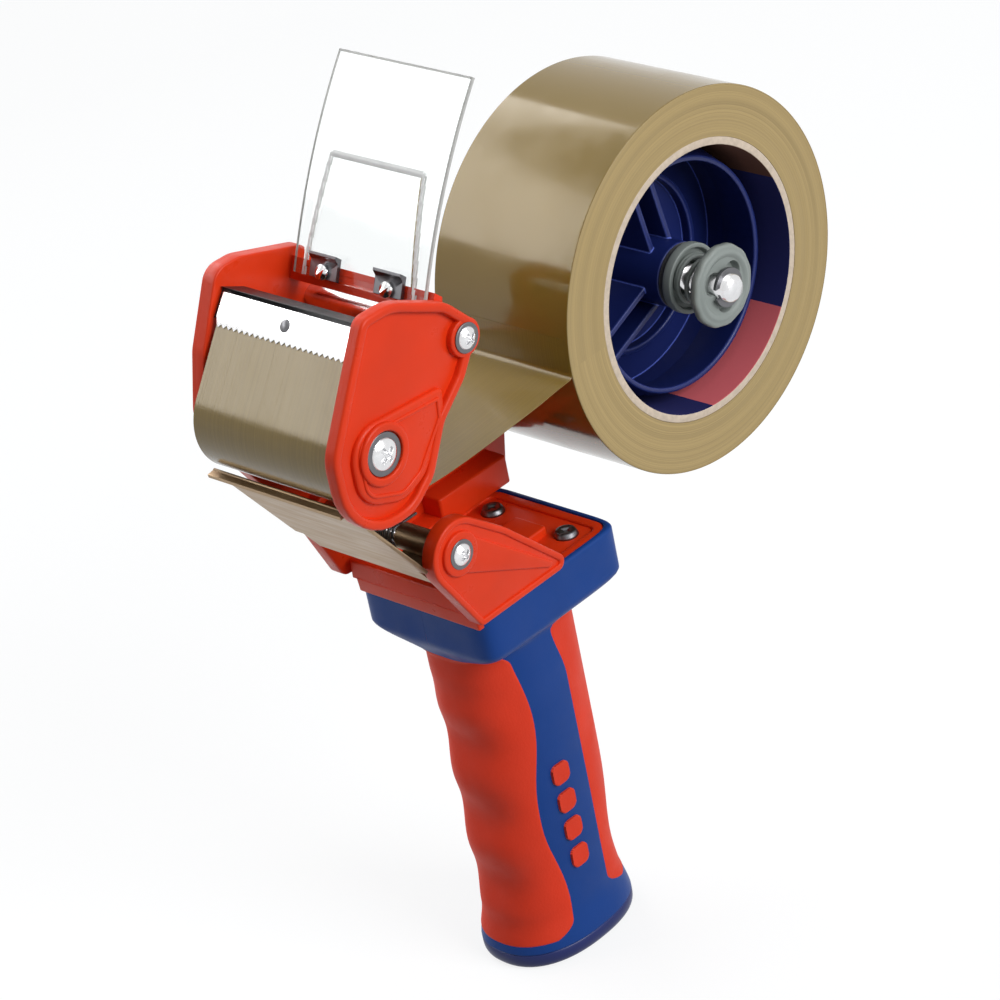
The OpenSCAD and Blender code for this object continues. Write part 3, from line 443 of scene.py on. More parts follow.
def felt(name, colour):
    """Pressed felt: matt, with short crossing fibres."""
    f = Finish(name, 0.95, Specular_IOR_Level=0.15, Sheen_Weight=0.4)
    f.between(f.grain(1500, 4), shade(colour, 0.6), shade(colour, 1.7), "Base Color")
    f.relief(f.grain(2500, 4), 0.10)
    return f.material


BLUE = (0.007, 0.049, 0.240)
ORANGE = (0.740, 0.040, 0.006)
SOFT = (0.760, 0.040, 0.010)
NAVY = (0.0095, 0.0180, 0.115)
FILM = (0.205, 0.134, 0.026)

finish = {
    "blue_plastic": moulded("blue moulding", BLUE, 0.44, Specular_IOR_Level=0.18),
    "soft_orange": soft_grip("soft orange grip", SOFT),
    # the third colour is the lighter blue of the painted highlight on the hub's edges
    "navy_plastic": hub_blue("navy moulding", NAVY, (0.13, 0.19, 0.72)),
    "orange_plastic": moulded("orange moulding", ORANGE, 0.33, grain_height=0.02, edge=0, Specular_IOR_Level=0.23),
    "plated_steel": metal("bright plated steel", (0.74, 0.74, 0.75), 0.18),
    # the steel is real; the brown tint in its colour is a painted reflection of the red moulding and tan film round the
    # guide plate
    "sheet_steel": metal("brushed sheet steel", (0.33, 0.235, 0.145), 0.40, (1, 0.12, 1), edge=0.12, scale=1300),
    "spring_steel": metal("dark spring wire", (0.16, 0.16, 0.17), 0.34),
    "black_plastic": moulded("black moulding", (0.010, 0.010, 0.012), 0.42),
    "blade_steel": metal("ground blade steel", (0.88, 0.88, 0.88), 0.26, (1, 0.05, 1), edge=0.08, scale=900),
    "clear_plastic": clear_sheet("clear flap sheet"),
    "white_plastic": moulded("white moulding", (0.70, 0.70, 0.67), 0.40),
    "roller_rubber": moulded("roller rubber", (0.018, 0.018, 0.018), 0.75, grain_height=0.05),
    "bush_brass": metal("turned brass", (0.72, 0.50, 0.20), 0.25),
    "brake_felt": felt("brake felt", (0.03, 0.03, 0.035)),
    "grey_metal": moulded("grey brake moulding", (0.25, 0.28, 0.265), 0.46, edge=0, Specular_IOR_Level=0.45),
    "cardboard": board("kraft board", (0.66, 0.55, 0.44)),
    "tape_film": film("tan film", FILM, 0.12, (0.02, 40, 1)),
}
SIDE = wound_side("wound film edges", (0.400, 0.290, 0.125))
EDGE = sheet_edge("sawn sheet edge", (0.50, 0.50, 0.48))
# the light grey of the flap's raised lines is a painted highlight where the clear ribs catch the light
LINE = sheet_edge("raised sheet line", (0.86, 0.87, 0.86))


# ---- meshes -------------------------------------------------------------------------------------

replaced = set()                      # CAD nodes that a finer piece stands for


def stand_for(piece, body, *cad_nodes):
    """The piece takes the place of these CAD nodes and moves with the body."""
    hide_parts(*cad_nodes)
    replaced.update(cad_nodes)
    if body:
        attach(piece, body)


def show(name, mesh, material):
    mesh.materials.append(material)
    return link(bpy.data.objects.new(name.replace(" ", "_"), mesh))


def close_up(mesh, crease, gap=2e-7, turn_outward=True):
    """Merges doubles at seams and poles, turns the faces outward and keeps edges above the crease angle sharp."""
    work = bmesh.new()
    work.from_mesh(mesh)
    bmesh.ops.remove_doubles(work, verts=work.verts, dist=gap)
    if turn_outward:
        bmesh.ops.recalc_face_normals(work, faces=work.faces)
    work.to_mesh(mesh)
    work.free()
    mesh.shade_smooth()
    mesh.set_sharp_from_angle(angle=np.radians(crease))


def give_uv(mesh, u_run, v_run):
    """A UV map from the runs along both ways of a grid; flat caps stay at its corner."""
    i, j = np.meshgrid(np.arange(len(u_run) - 1), np.arange(len(v_run) - 1), indexing="ij")
    u = u_run[np.stack([i, i + 1, i + 1, i], -1)].reshape(-1)
    v = v_run[np.stack([j, j, j + 1, j + 1], -1)].reshape(-1)
    flat = np.zeros((len(mesh.loops), 2))
    flat[:len(u)] = np.stack([u, v], -1)
    mesh.uv_layers.new(name="UVMap").data.foreach_set("uv", flat.reshape(-1))


def build(name, points, faces, material, crease, uv=None):
    """A piece from points in millimetres and faces."""
    mesh = bpy.data.meshes.new(name)
    mesh.from_pydata((points * MM).tolist(), [], faces)
    if uv is not None:
        give_uv(mesh, *uv)
    close_up(mesh, crease)
    return show(name, mesh, material)


def grid_faces(nu, nv, wrap_u, wrap_v, first=0):
    """Faces of a grid of points numbered from first: its quads, and a flat cap on each end of an open tube."""
    i, j = np.meshgrid(np.arange(nu if wrap_u else nu - 1), np.arange(nv if wrap_v else nv - 1), indexing="ij")
    i2, j2 = (i + 1) % nu, (j + 1) % nv
    quads = first + np.stack([i * nv + j, i2 * nv + j, i2 * nv + j2, i * nv + j2], -1).reshape(-1, 4)
    caps = first + np.stack([np.arange(nv), np.arange(nu * nv)[:-nv - 1:-1]])
    return quads.tolist() + (caps.tolist() if wrap_v and not wrap_u else [])


def solid(name, points, material, wrap_v=False, uv=None, crease=40):
    """A closed surface from an array points[u, v] in millimetres; open ends get a flat cap, poles are merged."""
    faces = grid_faces(*points.shape[:2], False, wrap_v)
    return build(name, points.reshape(-1, 3), faces, material, crease, uv)


def face_centres(piece):
    """Middles of the faces in millimetres."""
    middle = np.zeros(len(piece.data.polygons) * 3)
    piece.data.polygons.foreach_get("center", middle)
    return middle.reshape(-1, 3) / MM


def faces_from_axis(piece, centre):
    """How far each face's middle is from the axis along Y through centre, in millimetres."""
    middle = face_centres(piece)
    return np.hypot(middle[:, 0] - centre[0], middle[:, 2] - centre[1])


def more_finishes(piece, index, *materials):
    """Adds materials and gives each face one by number; 0 is the one the piece has already."""
    for material in materials:
        piece.data.materials.append(material)
    piece.data.polygons.foreach_set("material_index", index.astype(np.int32))


def round_axis(centre, r, angle, y):
    """Points at radius r and an angle round the axis along Y through centre."""
    return np.stack(np.broadcast_arrays(centre[0] + r * np.cos(angle), y, centre[1] + r * np.sin(angle)), -1)


def rounded(ring, inset=0.0, steps=9):
    """Outline through left-handed corners (a, b, radius), hollow ones too, drawn in by inset."""
    ring = np.array(ring, float)
    p, r = ring[:, :2], ring[:, 2]
    u, v = unit(p - np.roll(p, 1, 0)), unit(np.roll(p, -1, 0) - p)
    side = np.sign(u[:, 0] * v[:, 1] - u[:, 1] * v[:, 0])
    q = p + inset * (left(u) + left(v)) / (1 + (left(u) * left(v)).sum(1, keepdims=True))
    r = np.maximum(0.05, r - side * inset)
    half = np.arccos(np.clip((u * v).sum(1), -1, 1)) / 2
    centre = q - u * (r * np.tan(half))[:, None] + left(u) * (r * side)[:, None]
    first = np.arctan2(u[:, 1], u[:, 0]) - side * np.pi / 2
    angle = first[:, None] + (side * 2 * half)[:, None] * np.linspace(0, 1, steps)
    return (centre[:, None] + r[:, None, None] * heading(angle)).reshape(-1, 2)


def belt(ring, inset=0.0):
    """Outline of a belt round a left-handed ring of circles (a, b, radius), drawn in by inset."""
    ring = np.array(ring, float)
    after = np.roll(ring, -1, 0)
    d = after[:, :2] - ring[:, :2]
    leave = np.arctan2(d[:, 1], d[:, 0]) - np.arccos((ring[:, 2] - after[:, 2]) / np.linalg.norm(d, axis=1))
    first = np.roll(leave, 1)
    angle = first[:, None] + ((leave - first) % TAU)[:, None] * np.linspace(0, 1, 17)
    return (ring[:, None, :2] + (ring[:, None, 2:3] - inset) * heading(angle)).reshape(-1, 2)


def profile(*corners):
    """Closed left-handed outline of (radius, y) through corners (radius, y, rounding)."""
    return rounded(corners, 0.0, 5)


class Moulding:
    """Closed shells gathered into one piece; Y shells stand on an outline of X and Z, Z shells on X and Y."""

    def __init__(self):
        self.points, self.faces, self.count = [], [], 0

    def shell(self, points, wrap_u=False):
        """Adds a grid [u, v, 3] that closes on itself in v, with flat caps where u doesn't."""
        nu, nv = points.shape[:2]
        self.faces += grid_faces(nu, nv, wrap_u, True, self.count)
        self.points.append(points.reshape(-1, 3))
        self.count += nu * nv

    def stand(self, ring, insets, heights, axis, draw, wrap_u=False):
        """Adds a shell of the outline drawn in by each inset, at each height along Y or Z."""
        a, b = np.stack([draw(ring, inset) for inset in insets]).transpose(2, 0, 1)
        h = np.broadcast_to(heights[:, None], a.shape)
        self.shell(np.stack([a, h, b] if axis == "y" else [a, b, h], -1), wrap_u)

    def slab(self, ring, low, high, edge=0.4, axis="y", draw=rounded):
        """Outline pulled from low to high, both rims rounded by a quarter circle of radius edge."""
        insets = edge * (1 - np.sin(np.concatenate([QUARTER, QUARTER[::-1]])))
        rise = edge * (1 - np.cos(QUARTER))
        self.stand(ring, insets, np.concatenate([low + rise, high - rise[::-1]]), axis, draw)

    def rim(self, ring, width, low, high, edge, axis="y", draw=rounded, inset=0.02):
        """A band of the given width along the inside of an outline, its top edges rounded."""
        up = 1 if high > low else -1
        turn_in = edge * (1 - np.cos(QUARTER))
        insets = np.concatenate([[0], turn_in, width - turn_in[::-1], [width]]) + inset
        rise = up * edge * (1 - np.sin(QUARTER))
        self.stand(ring, insets, np.concatenate([[low], high - rise, high - rise[::-1], [low]]), axis, draw, True)

    def turned(self, centre, corners, steps=96, order=1):
        """Turns an outline of corners (radius, y, rounding) round Y at centre; order is -1 if they are right-handed."""
        r, y = profile(*corners)[::order].T[..., None]
        self.shell(round_axis(centre, r, np.linspace(0, TAU, steps, endpoint=False), y), wrap_u=True)

    def block(self, low, high, edge=0.4):
        """A box between two corners with all its upright and flat edges rounded."""
        (x0, y0, z0), (x1, y1, z1) = low, high
        r = min(edge * 1.6, (x1 - x0) / 2.2, (y1 - y0) / 2.2)
        self.slab([(x1, y0, r), (x1, y1, r), (x0, y1, r), (x0, y0, r)], z0, z1, min(edge, (z1 - z0) / 2.2), "z")

    def piece(self, name, material, crease=35):
        return build(name, np.concatenate(self.points), self.faces, material, crease)


def lathe(name, centre, outline, material, steps=192, crease=40):
    """Turns an outline of (radius, y) round the axis through centre along Y; UV runs round and along the outline."""
    r, y = np.vstack([outline, outline[:1]]).T
    angle = np.linspace(0, TAU, steps + 1)
    points = round_axis(centre, r, angle[:, None], y)
    return solid(name, points, material, uv=(angle / TAU, r * MM), crease=crease)


def tube(name, path, radius, material):
    """A round wire along a path of points, its cross-sections kept upright to Y."""
    ahead = unit(np.gradient(path, axis=0))
    across = unit(np.cross(ahead, (0, 1, 0)))
    over = np.cross(ahead, across)
    ring = np.linspace(0, TAU, 14, endpoint=False)[None, :, None]
    points = path[:, None] + radius * (np.cos(ring) * across[:, None] + np.sin(ring) * over[:, None])
    return solid(name, points, material, wrap_v=True, crease=60)


def follow(path):
    """Unit vectors to the left of a path of X and Z, and the length run so far."""
    run = np.concatenate([[0], np.cumsum(np.linalg.norm(np.diff(path, axis=0), axis=1))])
    return left(unit(np.gradient(path, axis=0))), run


def thin_sheet(path, over, y, *offsets):
    """A path of X and Z pulled across Y, moved along its normal by two offsets and closed into one skin."""
    sides = []
    for offset in offsets:
        x, z = (path[:, k, None] + offset * over[:, k, None] for k in (0, 1))
        sides.append(np.stack(np.broadcast_arrays(x, y, z), -1))
    return np.concatenate([sides[0], sides[1][:, ::-1]], 1)


def dress(node, material):
    """A copy of a CAD node with its triangles joined and its round faces smooth."""
    mesh = nodes[node].data.copy()
    mesh.materials.clear()
    close_up(mesh, 32, gap=1e-6, turn_outward=False)
    return show(node + "_look", mesh, material)


# ---- handle -------------------------------------------------------------------------------------

FLANGE_Z = 126.0
CAP_H = 5.0
INLAY_HIGH = 106.0
REAR_LOW = 7 + 99 / 27


def flare_low(z):
    return 1 - ease((z - 3) / 13)


def flare_high(z):
    return ease((z - 103.5) / 9)


def half_long(z):
    return 22.5 + 2.5 * flare_low(z) + 5.5 * flare_high(z)


def half_wide(z):
    return 16.5 + 1.7 * flare_low(z) + 8.3 * flare_high(z)


def finger_wave(z):
    """Hollows between the fingers, 2.3 mm deep and 23.5 mm apart, that fade out at both ends."""
    fade = ease((z - 10) / 10) * (1 - ease((z - 84) / 14))
    return -2.3 * fade * (0.5 - 0.5 * np.cos(TAU * (z - 15.3) / 23.5))


def heel(z):
    """The hollow low on the back of the grip, above the foot."""
    return -4.6 * np.exp(-((z - 27) / 13) ** 2) - 1.6 * flare_low(z)


def skin(z, t, depth=0.0):
    """A superellipse at height z, at angle t in radians from the front, sunk by depth."""
    p = 2 / (2.3 + 8.7 * flare_high(z))
    c, s = np.cos(t), np.sin(t)
    front, back = np.maximum(c, 0) ** 2, np.maximum(-c, 0) ** 2
    x = (half_long(z) + finger_wave(z) * front + heel(z) * back - depth) * np.sign(c) * np.abs(c) ** p
    y = (half_wide(z) - depth) * np.sign(s) * np.abs(s) ** p
    return np.stack(np.broadcast_arrays(x - 1.5 * flare_high(z), y, z), -1)


def skin_stack(name, z, drawn_at, inset, steps, material):
    """The skin's outlines, drawn at one run of heights and placed at another, closed to a point at both ends."""
    points = skin(drawn_at[:, None], np.linspace(0, TAU, steps), inset[:, None])
    points[..., 2] = z[:, None]
    low, high = (np.broadcast_to([0, 0, h], (1, steps, 3)) for h in (z[0], z[-1]))
    return solid(name, np.concatenate([low, points, high]), material, crease=50)


def round_end(d, r):
    """A quarter circle of radius r, from 0 at its edge to 1."""
    return np.sqrt(1 - (1 - np.clip(d, 0, r) / r) ** 2)


def front_half(z):
    """Half angle of the front inlay in radians."""
    ends = np.minimum(round_end(z - 4.8, 7), round_end(INLAY_HIGH + 1.2 - z, 7))
    return np.radians(67.5 + 6 * np.cos(TAU * (z - 80) / 62)) * ends


def rear_half(z):
    """Half angle of the rear inlay in radians."""
    ends = np.minimum(round_end(z - REAR_LOW + 1.5, 8), round_end(INLAY_HIGH + 5 - z, 9))
    return np.radians(77 + 8 * ease((z - 86) / 18)) * ends


def make_core():
    """Blue core: the skin from the foot to the flange, over a rounded rim and down into the deck's pocket."""
    grip = np.linspace(CAP_H, FLANGE_Z - 1.0, 150)
    arc = np.radians(np.linspace(0, 90, 6))[1:]
    z = np.concatenate([grip, FLANGE_Z - 1 + np.sin(arc), [FLANGE_Z, FLANGE_Z - 0.3, FLANGE_Z - 3.5, FLANGE_Z - 3.5]])
    inset = np.concatenate([grip * 0, 1 - np.cos(arc), [1.6, 1.8, 1.8, 24.7]])
    core = skin_stack("handle core", z, np.minimum(z, FLANGE_Z), inset, 241, finish["blue_plastic"])
    stand_for(core, "frame", "handle_core")


def make_inlay(name, low, high, middle, half, proud, node):
    """Soft inlay: the skin between two angles, a little proud, its border rolled down into the core."""
    edge, sunk = 1.3, 2.4
    z = low + (high - low) * (0.5 - 0.5 * np.cos(np.pi * np.linspace(0, 1, 150)))
    z[-1] = high
    u = np.sin(np.pi / 2 * np.linspace(-1, 1, 101))
    half_at = half(z)
    t = middle + half_at[:, None] * u[None, :]
    near_side = (1 - np.abs(u))[None, :] * half_at[:, None] * 17
    near_end = np.minimum(z - low, high - z)[:, None]
    d = np.clip(np.minimum(near_side, near_end), 0, edge)
    roll = edge - np.sqrt(np.maximum(edge ** 2 - (edge - d) ** 2, 0))
    outer = skin(z[:, None], t, roll - proud)
    inner = skin(z[:, None], t, sunk)[:, ::-1]
    inlay = solid(name, np.concatenate([outer, inner], 1), finish["soft_orange"], wrap_v=True, crease=60)
    stand_for(inlay, "frame", node)


def make_foot():
    """Foot cap: the foot's outline with a rounded lower edge and a flat sole."""
    arc = np.radians(np.linspace(0, 90, 9))
    z = np.concatenate([[0], 2.5 * (1 - np.cos(arc)), [CAP_H - 0.5, CAP_H - 0.1, CAP_H - 0.1]])
    inset = np.concatenate([[18], 1.6 * (1 - np.sin(arc)), [0, 0.4, 18]])
    foot = skin_stack("foot cap", z, np.full(len(z), CAP_H), inset, 181, finish["navy_plastic"])
    stand_for(foot, "frame", "foot_cap")


# ---- frame --------------------------------------------------------------------------------------

WALL_Y, OUTER_Y = 26.5, 30.0          # inner and outer faces of the two walls
TRAY_Z = 122.5
RIB_HALF = 0.9
DECK = [(27.0, 23.0, 0.5), (-27.7, 23.0, 5), (-27.7, -23.0, 5), (27.0, -23.0, 0.5)]
HEAD = [(AXLE[0] + 17, AXLE[1] - 21, 17.7), (AXLE[0] + 17, AXLE[1] + 6, 12), (AXLE[0] - 2.4, AXLE[1] + 37.6, 4.5),
        (AXLE[0] - 13.3, AXLE[1] + 37.4, 18), (AXLE[0] - 31.6, AXLE[1] + 28.2, 14), (TIE[0] - 5.9, TIE[1] + 1.4, 4),
        (TIE[0] + 3.2, TIE[1] - 10.6, 9), (TIE[0] + 12.9, TIE[1] - 18.4, 9), (AXLE[0] - 15.2, AXLE[1] - 14.8, 10),
        (AXLE[0] - 6.5, AXLE[1] - 21, 13)]
WALL = [(47.1, 232.0, 6), (38.3, 231.8, 12), (15.5, 224.4, 5), (10.9, 208.4, 5), (16.3, 190, 12), (12.3, 172.3, 9),
        (-27.5, 170.8, 12), (-84.6, 195.7, 13), (-95.2, 170.9, 13), (-43.2, 148.6, 6), (-37.6, 121.7, 4),
        (28.2, 126.7, 3.4), (38.0, 150.0, 9), (56.2, 179.4, 6), (62.1, 182.4, 9), (61.9, 196.4, 9), (57.4, 212.4, 12)]
WALL_RIBS = (((-77.5, 178), (20, 163)), ((-77.5, 178), (-24, 136)), ((-30, 150), (24, 132)), ((-26, 132), (24, 168)))
LUG_RING = [(LUG[0], LUG[1], 10), (20, 142.6, 9), (-2.2, 128.9, 2.6), (27.7, 128.5, 2.2)]


def make_near_plate():
    """Near head plate: a recessed field inside a broad raised rim, and a raised pod round the roller's axle."""
    m = Moulding()
    m.slab(HEAD, WALL_Y, OUTER_Y - 1.6, 0.35)
    m.rim(HEAD, 2.7, OUTER_Y - 2.5, OUTER_Y + 0.45, 0.9)
    x, z = AXLE
    pod = [(x + 10.4, z - 10.6, 9.6), (x + 10.2, z + 10.1, 9.4), (x - 24.5, z + 7.0, 1.5), (x - 23.5, z - 1.5, 5),
           (x - 12.5, z - 13.5, 9), (x - 4, z - 16.5, 9)]
    m.slab(pod, OUTER_Y - 3, OUTER_Y - 0.15, 1.0)
    m.rim([(a, b, max(0.6, r - 1.9)) for a, b, r in pod], 1.0, OUTER_Y - 1, OUTER_Y + 0.3, 0.4, inset=2.0)
    for centre, inner, outer, low, high, at_rim, at_bore in (
            (AXLE, 6.3, 8.6, 26.8, OUTER_Y + 1.1, 0.7, 0.5), (AXLE, 0.5, 6.8, 27, OUTER_Y - 1.6, 0.1, 0.1),
            (TIE, 0.5, 5.4, 27, OUTER_Y + 0.3, 0.5, 0.1)):
        m.turned(centre, ((inner, low, 0.1), (outer, low, 0.1), (outer, high, at_rim), (inner, high, at_bore)))
    stand_for(m.piece("near_plate_look", finish["orange_plastic"]), "frame", "near_plate")


def make_frame():
    """Far wall with its arm, deck tray and near lug, as one moulding."""
    m = Moulding()
    m.slab(WALL, -OUTER_Y, -WALL_Y, 0.5)
    m.rim(WALL, 2.3, -OUTER_Y + 0.5, -OUTER_Y - 1.45, 0.6)
    # stiffening ribs on the outer face
    for start, end in np.array(WALL_RIBS, float):
        ahead = unit(end - start)
        a, b, w = start + 8 * ahead, end - 4 * ahead, RIB_HALF * left(ahead)
        m.slab([(*corner, 0.6) for corner in (a - w, b - w, b + w, a + w)], -OUTER_Y - 1.3, -OUTER_Y + 0.5, 0.35)
    m.turned(AXLE, ((0.5, -31, 0.1), (0.5, -27, 0.1), (8.9, -27, 0.1), (8.9, -31, 0.6)), order=-1)
    m.turned(TIE, ((0.5, -31.4, 0.1), (0.5, -27, 0.1), (5.5, -27, 0.1), (5.5, -31.4, 0.6)), order=-1)
    m.turned(HUB, ((5.1, -33.4, 0.2), (5.1, -26.2, 0.2), (9.4, -26.2, 0.2), (9.4, -26.6, 0.1),
                   (13.9, -26.6, 0.3), (13.9, -33.4, 0.8)), order=-1)
    # step over the flange, deck tray, its ribs and key block
    m.block((-32.6, -27.4, 126.2), (-4.8, -19.1, 135.1), 0.6)
    m.block((-6, -27.4, 126.2), (23.3, -19.1, 129.1), 0.6)
    m.slab(DECK, TRAY_Z + 0.02, TRAY_Z + 2.5, 0.3, "z")
    m.rim(DECK, 3.0, TRAY_Z + 1, TRAY_Z + 3.2, 0.5, "z")
    for x in (-8, 8):
        m.block((x, -21, TRAY_Z + 1), (x + 1.8, 21, TRAY_Z + 3.45), 0.35)
    m.block((-17, -3, TRAY_Z + 1), (5, 9, TRAY_Z + 5.2), 0.7)
    m.block((-23.6, -22.5, TRAY_Z + 1), (20, -20.1, TRAY_Z + 5.4), 0.5)
    # front apron and cross piece under the guide plate
    m.slab([(22.1, 123.0, 0.3), (27.0, 122.6, 0.4), (27.4, 126.95, 0.4), (23.6, 126.95, 0.4)], -22.9, 22.9, 0.4)
    m.slab([(23.3, 126.25, 0.4), (27.2, 126.25, 0.4), (26.8, 131.9, 0.9), (23.3, 131.9, 0.9)], -24.7, 25.8, 0.4)
    # near lug: nose, raised border, diagonal rib and foot
    m.slab(LUG_RING, 22.3, 26.45, 0.6, draw=belt)
    m.rim(LUG_RING, 1.9, 25.5, 27.15, 0.6, draw=belt)
    m.slab([(LUG[0], LUG[1], 5.4), (1, 130.4, 1)], 25.5, 27.35, 0.5, draw=belt)
    m.turned(LUG, ((2.6, 24, 0.1), (6.3, 24, 0.1), (6.3, 27.5, 0.5), (2.6, 27.5, 0.1)))
    m.slab([(-3, 123.6, 0.4), (26.3, 123.6, 0.4), (26.8, 129.8, 0.4), (-2, 129.8, 0.4)], 20.1, 22.75, 0.4)
    m.slab([(-3, 126.6, 0.4), (26.3, 126.6, 0.4), (26.8, 132.8, 0.8), (4, 132.8, 0.8)], 20.1, 23.2, 0.4)
    m.turned(LUG, ((2.6, -27.4, 0.1), (2.6, -22.4, 0.1), (5.9, -22.4, 0.5), (5.9, -27.4, 0.1)), order=-1)
    stand_for(m.piece("frame_moulding", finish["orange_plastic"]), "frame", "main_frame")


def make_screws(node, centre, radius, ends):
    """Domed cross-head screws on washers: a polar height field, dome minus a softly cut cross, over a shank. The
    washers are dark as painted shade round each head.
    """
    head = radius * 0.74
    r = head * np.concatenate([np.linspace(0, 0.94, 40), [0.97, 0.99, 1.0]])
    angle = np.linspace(0, TAU, 128, endpoint=False)
    rr, aa = np.meshgrid(r, angle, indexing="ij")
    dome = 2.05 * (1 - 0.62 * (rr / head) ** 2)
    dome[-3:] -= np.array([0.06, 0.2, 0.45])[:, None]
    u, v = rr * np.cos(aa + 0.5), rr * np.sin(aa + 0.5)
    arm = np.minimum(np.abs(u), np.abs(v))
    reach = np.maximum(np.abs(u), np.abs(v))
    cut = ease((0.13 * head - arm) / (0.05 * head) + 0.5) * ease((0.55 * head - reach) / (0.05 * head) + 0.5)
    height = dome - cut * 1.35 * (1 - 0.5 * reach / head)
    m = Moulding()
    for y, side in ends:
        m.shell(np.concatenate([round_axis(centre, rr, aa, y + side * height), round_axis(centre, rr[-1:], angle, y)]))
        m.turned(centre, ((0.2, y - side * 6, 0.05), (1.95, y - side * 6, 0.05), (1.95, y + side * 0.2, 0.05),
                          (0.2, y + side * 0.2, 0.05)), 32)
        m.turned(centre, ((head - 0.4, y + side * 0.02, 0.02), (radius, y + side * 0.02, 0.05),
                          (radius, y + side * 0.6, 0.2), (head - 0.4, y + side * 0.6, 0.2)), 64)
    screws = m.piece(node + "_look", finish["plated_steel"], crease=50)
    # faces outside the head get the dark spring steel finish: painted shade in the pocket round each head
    more_finishes(screws, faces_from_axis(screws, centre) > head * 1.01, finish["spring_steel"])
    stand_for(screws, "frame", node)


# ---- roll and web -------------------------------------------------------------------------------

def make_roll():
    """The wound tape: gloss film outside, fine uneven layers on the two sides."""
    half, edge = HALF_W - 0.05, 0.35
    r = np.linspace(CORE_OUT + 0.05, ROLL_R - edge, 46)
    rng = np.random.default_rng(7)
    uneven = np.convolve(rng.normal(0, 1, len(r) + 8), np.ones(5) / 5, "same")[4:-4] * 0.10
    near = np.stack([r, half - 0.12 + np.clip(uneven, -0.1, 0.1)], -1)
    turn = np.stack([ROLL_R - edge + edge * np.sin(QUARTER), half - edge + edge * np.cos(QUARTER)], -1)
    side = np.vstack([near, turn])
    rim = np.stack([np.full(9, ROLL_R), np.linspace(half - 0.4, 0.4 - half, 9)], -1)
    roll = lathe("tape roll", HUB, np.vstack([side, rim, side[::-1] * [1, -1]]), SIDE, steps=256, crease=50)
    more_finishes(roll, faces_from_axis(roll, HUB) > ROLL_R - 0.1, finish["tape_film"])
    stand_for(roll, "tape_spool", "tape_roll")


def bezier(a, b, c, d, n):
    t = np.linspace(0, 1, n)[:, None]
    return (1 - t) ** 3 * a + 3 * (1 - t) ** 2 * t * b + 3 * (1 - t) * t * t * c + t ** 3 * d


def arc_points(centre, radius, first, last, n):
    return centre + radius * heading(np.radians(np.linspace(first, last, n)))


def web_path():
    """Middle line of the single layer: down the roll, forward in a slack sag, round the roller, to the blade."""
    down = arc_points(HUB, ROLL_R + 0.12, 9, -1.0, 12)
    bend = down[-1] + [1.6, 0] - 1.6 * heading(np.radians(np.linspace(10, 86, 9)))
    radius, touch_at = ROLLER_R + 0.45, -62
    touching = heading(np.radians(touch_at))
    touch = AXLE + radius * touching
    sag = bezier(bend[-1], bend[-1] + [30, -1.2], touch - 23 * left(touching), touch, 60)[1:]
    end = BLADE_EDGE + 0.5 * BLADE_UP - 0.16 * BLADE_OUT
    reach = end - AXLE
    leave = np.degrees(np.arctan2(reach[1], reach[0]) - np.arccos(radius / np.hypot(*reach)))
    wrap = arc_points(AXLE, radius, touch_at, leave, 46)[1:]
    straight = wrap[-1] + (end - wrap[-1]) * np.linspace(0, 1, 14)[1:, None]
    return np.vstack([down, bend, sag, wrap, straight])


def make_web():
    """The film between roll and blade: a thin strip swept along its path, with a faint curl and slack ripples."""
    path = web_path()
    over, run = follow(path)
    slack = ease((run - 14) / 12) * (1 - ease((run - 88) / 14))
    y = np.linspace(-HALF_W + 0.02, HALF_W - 0.02, 41)
    waves = 0.16 * np.sin(y / 5.2)[None, :] * np.sin(run / 11)[:, None]
    ripple = slack[:, None] * (waves - 0.25 * (y / HALF_W)[None, :] ** 4)
    points = thin_sheet(path, over, y, ripple + 0.05, ripple - 0.05)
    around = np.concatenate([y, y[::-1], y[:1]]) * MM
    web = solid("tape web", points, finish["tape_film"], wrap_v=True, uv=(run * MM * 3, around), crease=50)
    stand_for(web, "frame", "tape_web")


def make_cardboard():
    """The roll's board core: a plain tube with its four corners eased."""
    outline = profile((CORE_IN, -HALF_W + 0.2, 0.3), (CORE_OUT, -HALF_W + 0.2, 0.2), (CORE_OUT, HALF_W - 0.25, 0.2),
                      (CORE_IN, HALF_W - 0.25, 0.3))
    stand_for(lathe("cardboard core", HUB, outline, finish["cardboard"]), "tape_spool", "tape_core")


# ---- hub and brake ------------------------------------------------------------------------------

SPOKES = np.radians([89, -31, -151])
SPOKE_HALF = 3.75                     # from a spoke's middle to each of its two ribs
# drum, flange and its root, web and ring, each through corners (radius, y, rounding)
HUB_RINGS = (((35.7, -24, 0.2), (37.9, -24, 0.2), (37.9, 3, 3), (33.6, 16.95, 0.7), (31.9, 16.95, 0.7), (35.7, 2, 3)),
             ((33.2, -25.85, 0.1), (44, -25.85, 0.3), (44, -25.1, 0.3), (33.2, -25.1, 0.1)),
             ((33.2, -25.5, 0.1), (37.3, -25.5, 0.1), (37.3, -23.4, 0.1), (33.2, -23.4, 0.1)),
             ((9.0, -6.4, 0.1), (36, -6.4, 0.1), (36, -4, 0.1), (9.0, -4, 0.1)),
             ((24.8, -5, 0.1), (26.6, -5, 0.1), (26.6, -0.8, 0.6), (24.8, -0.8, 0.6)))


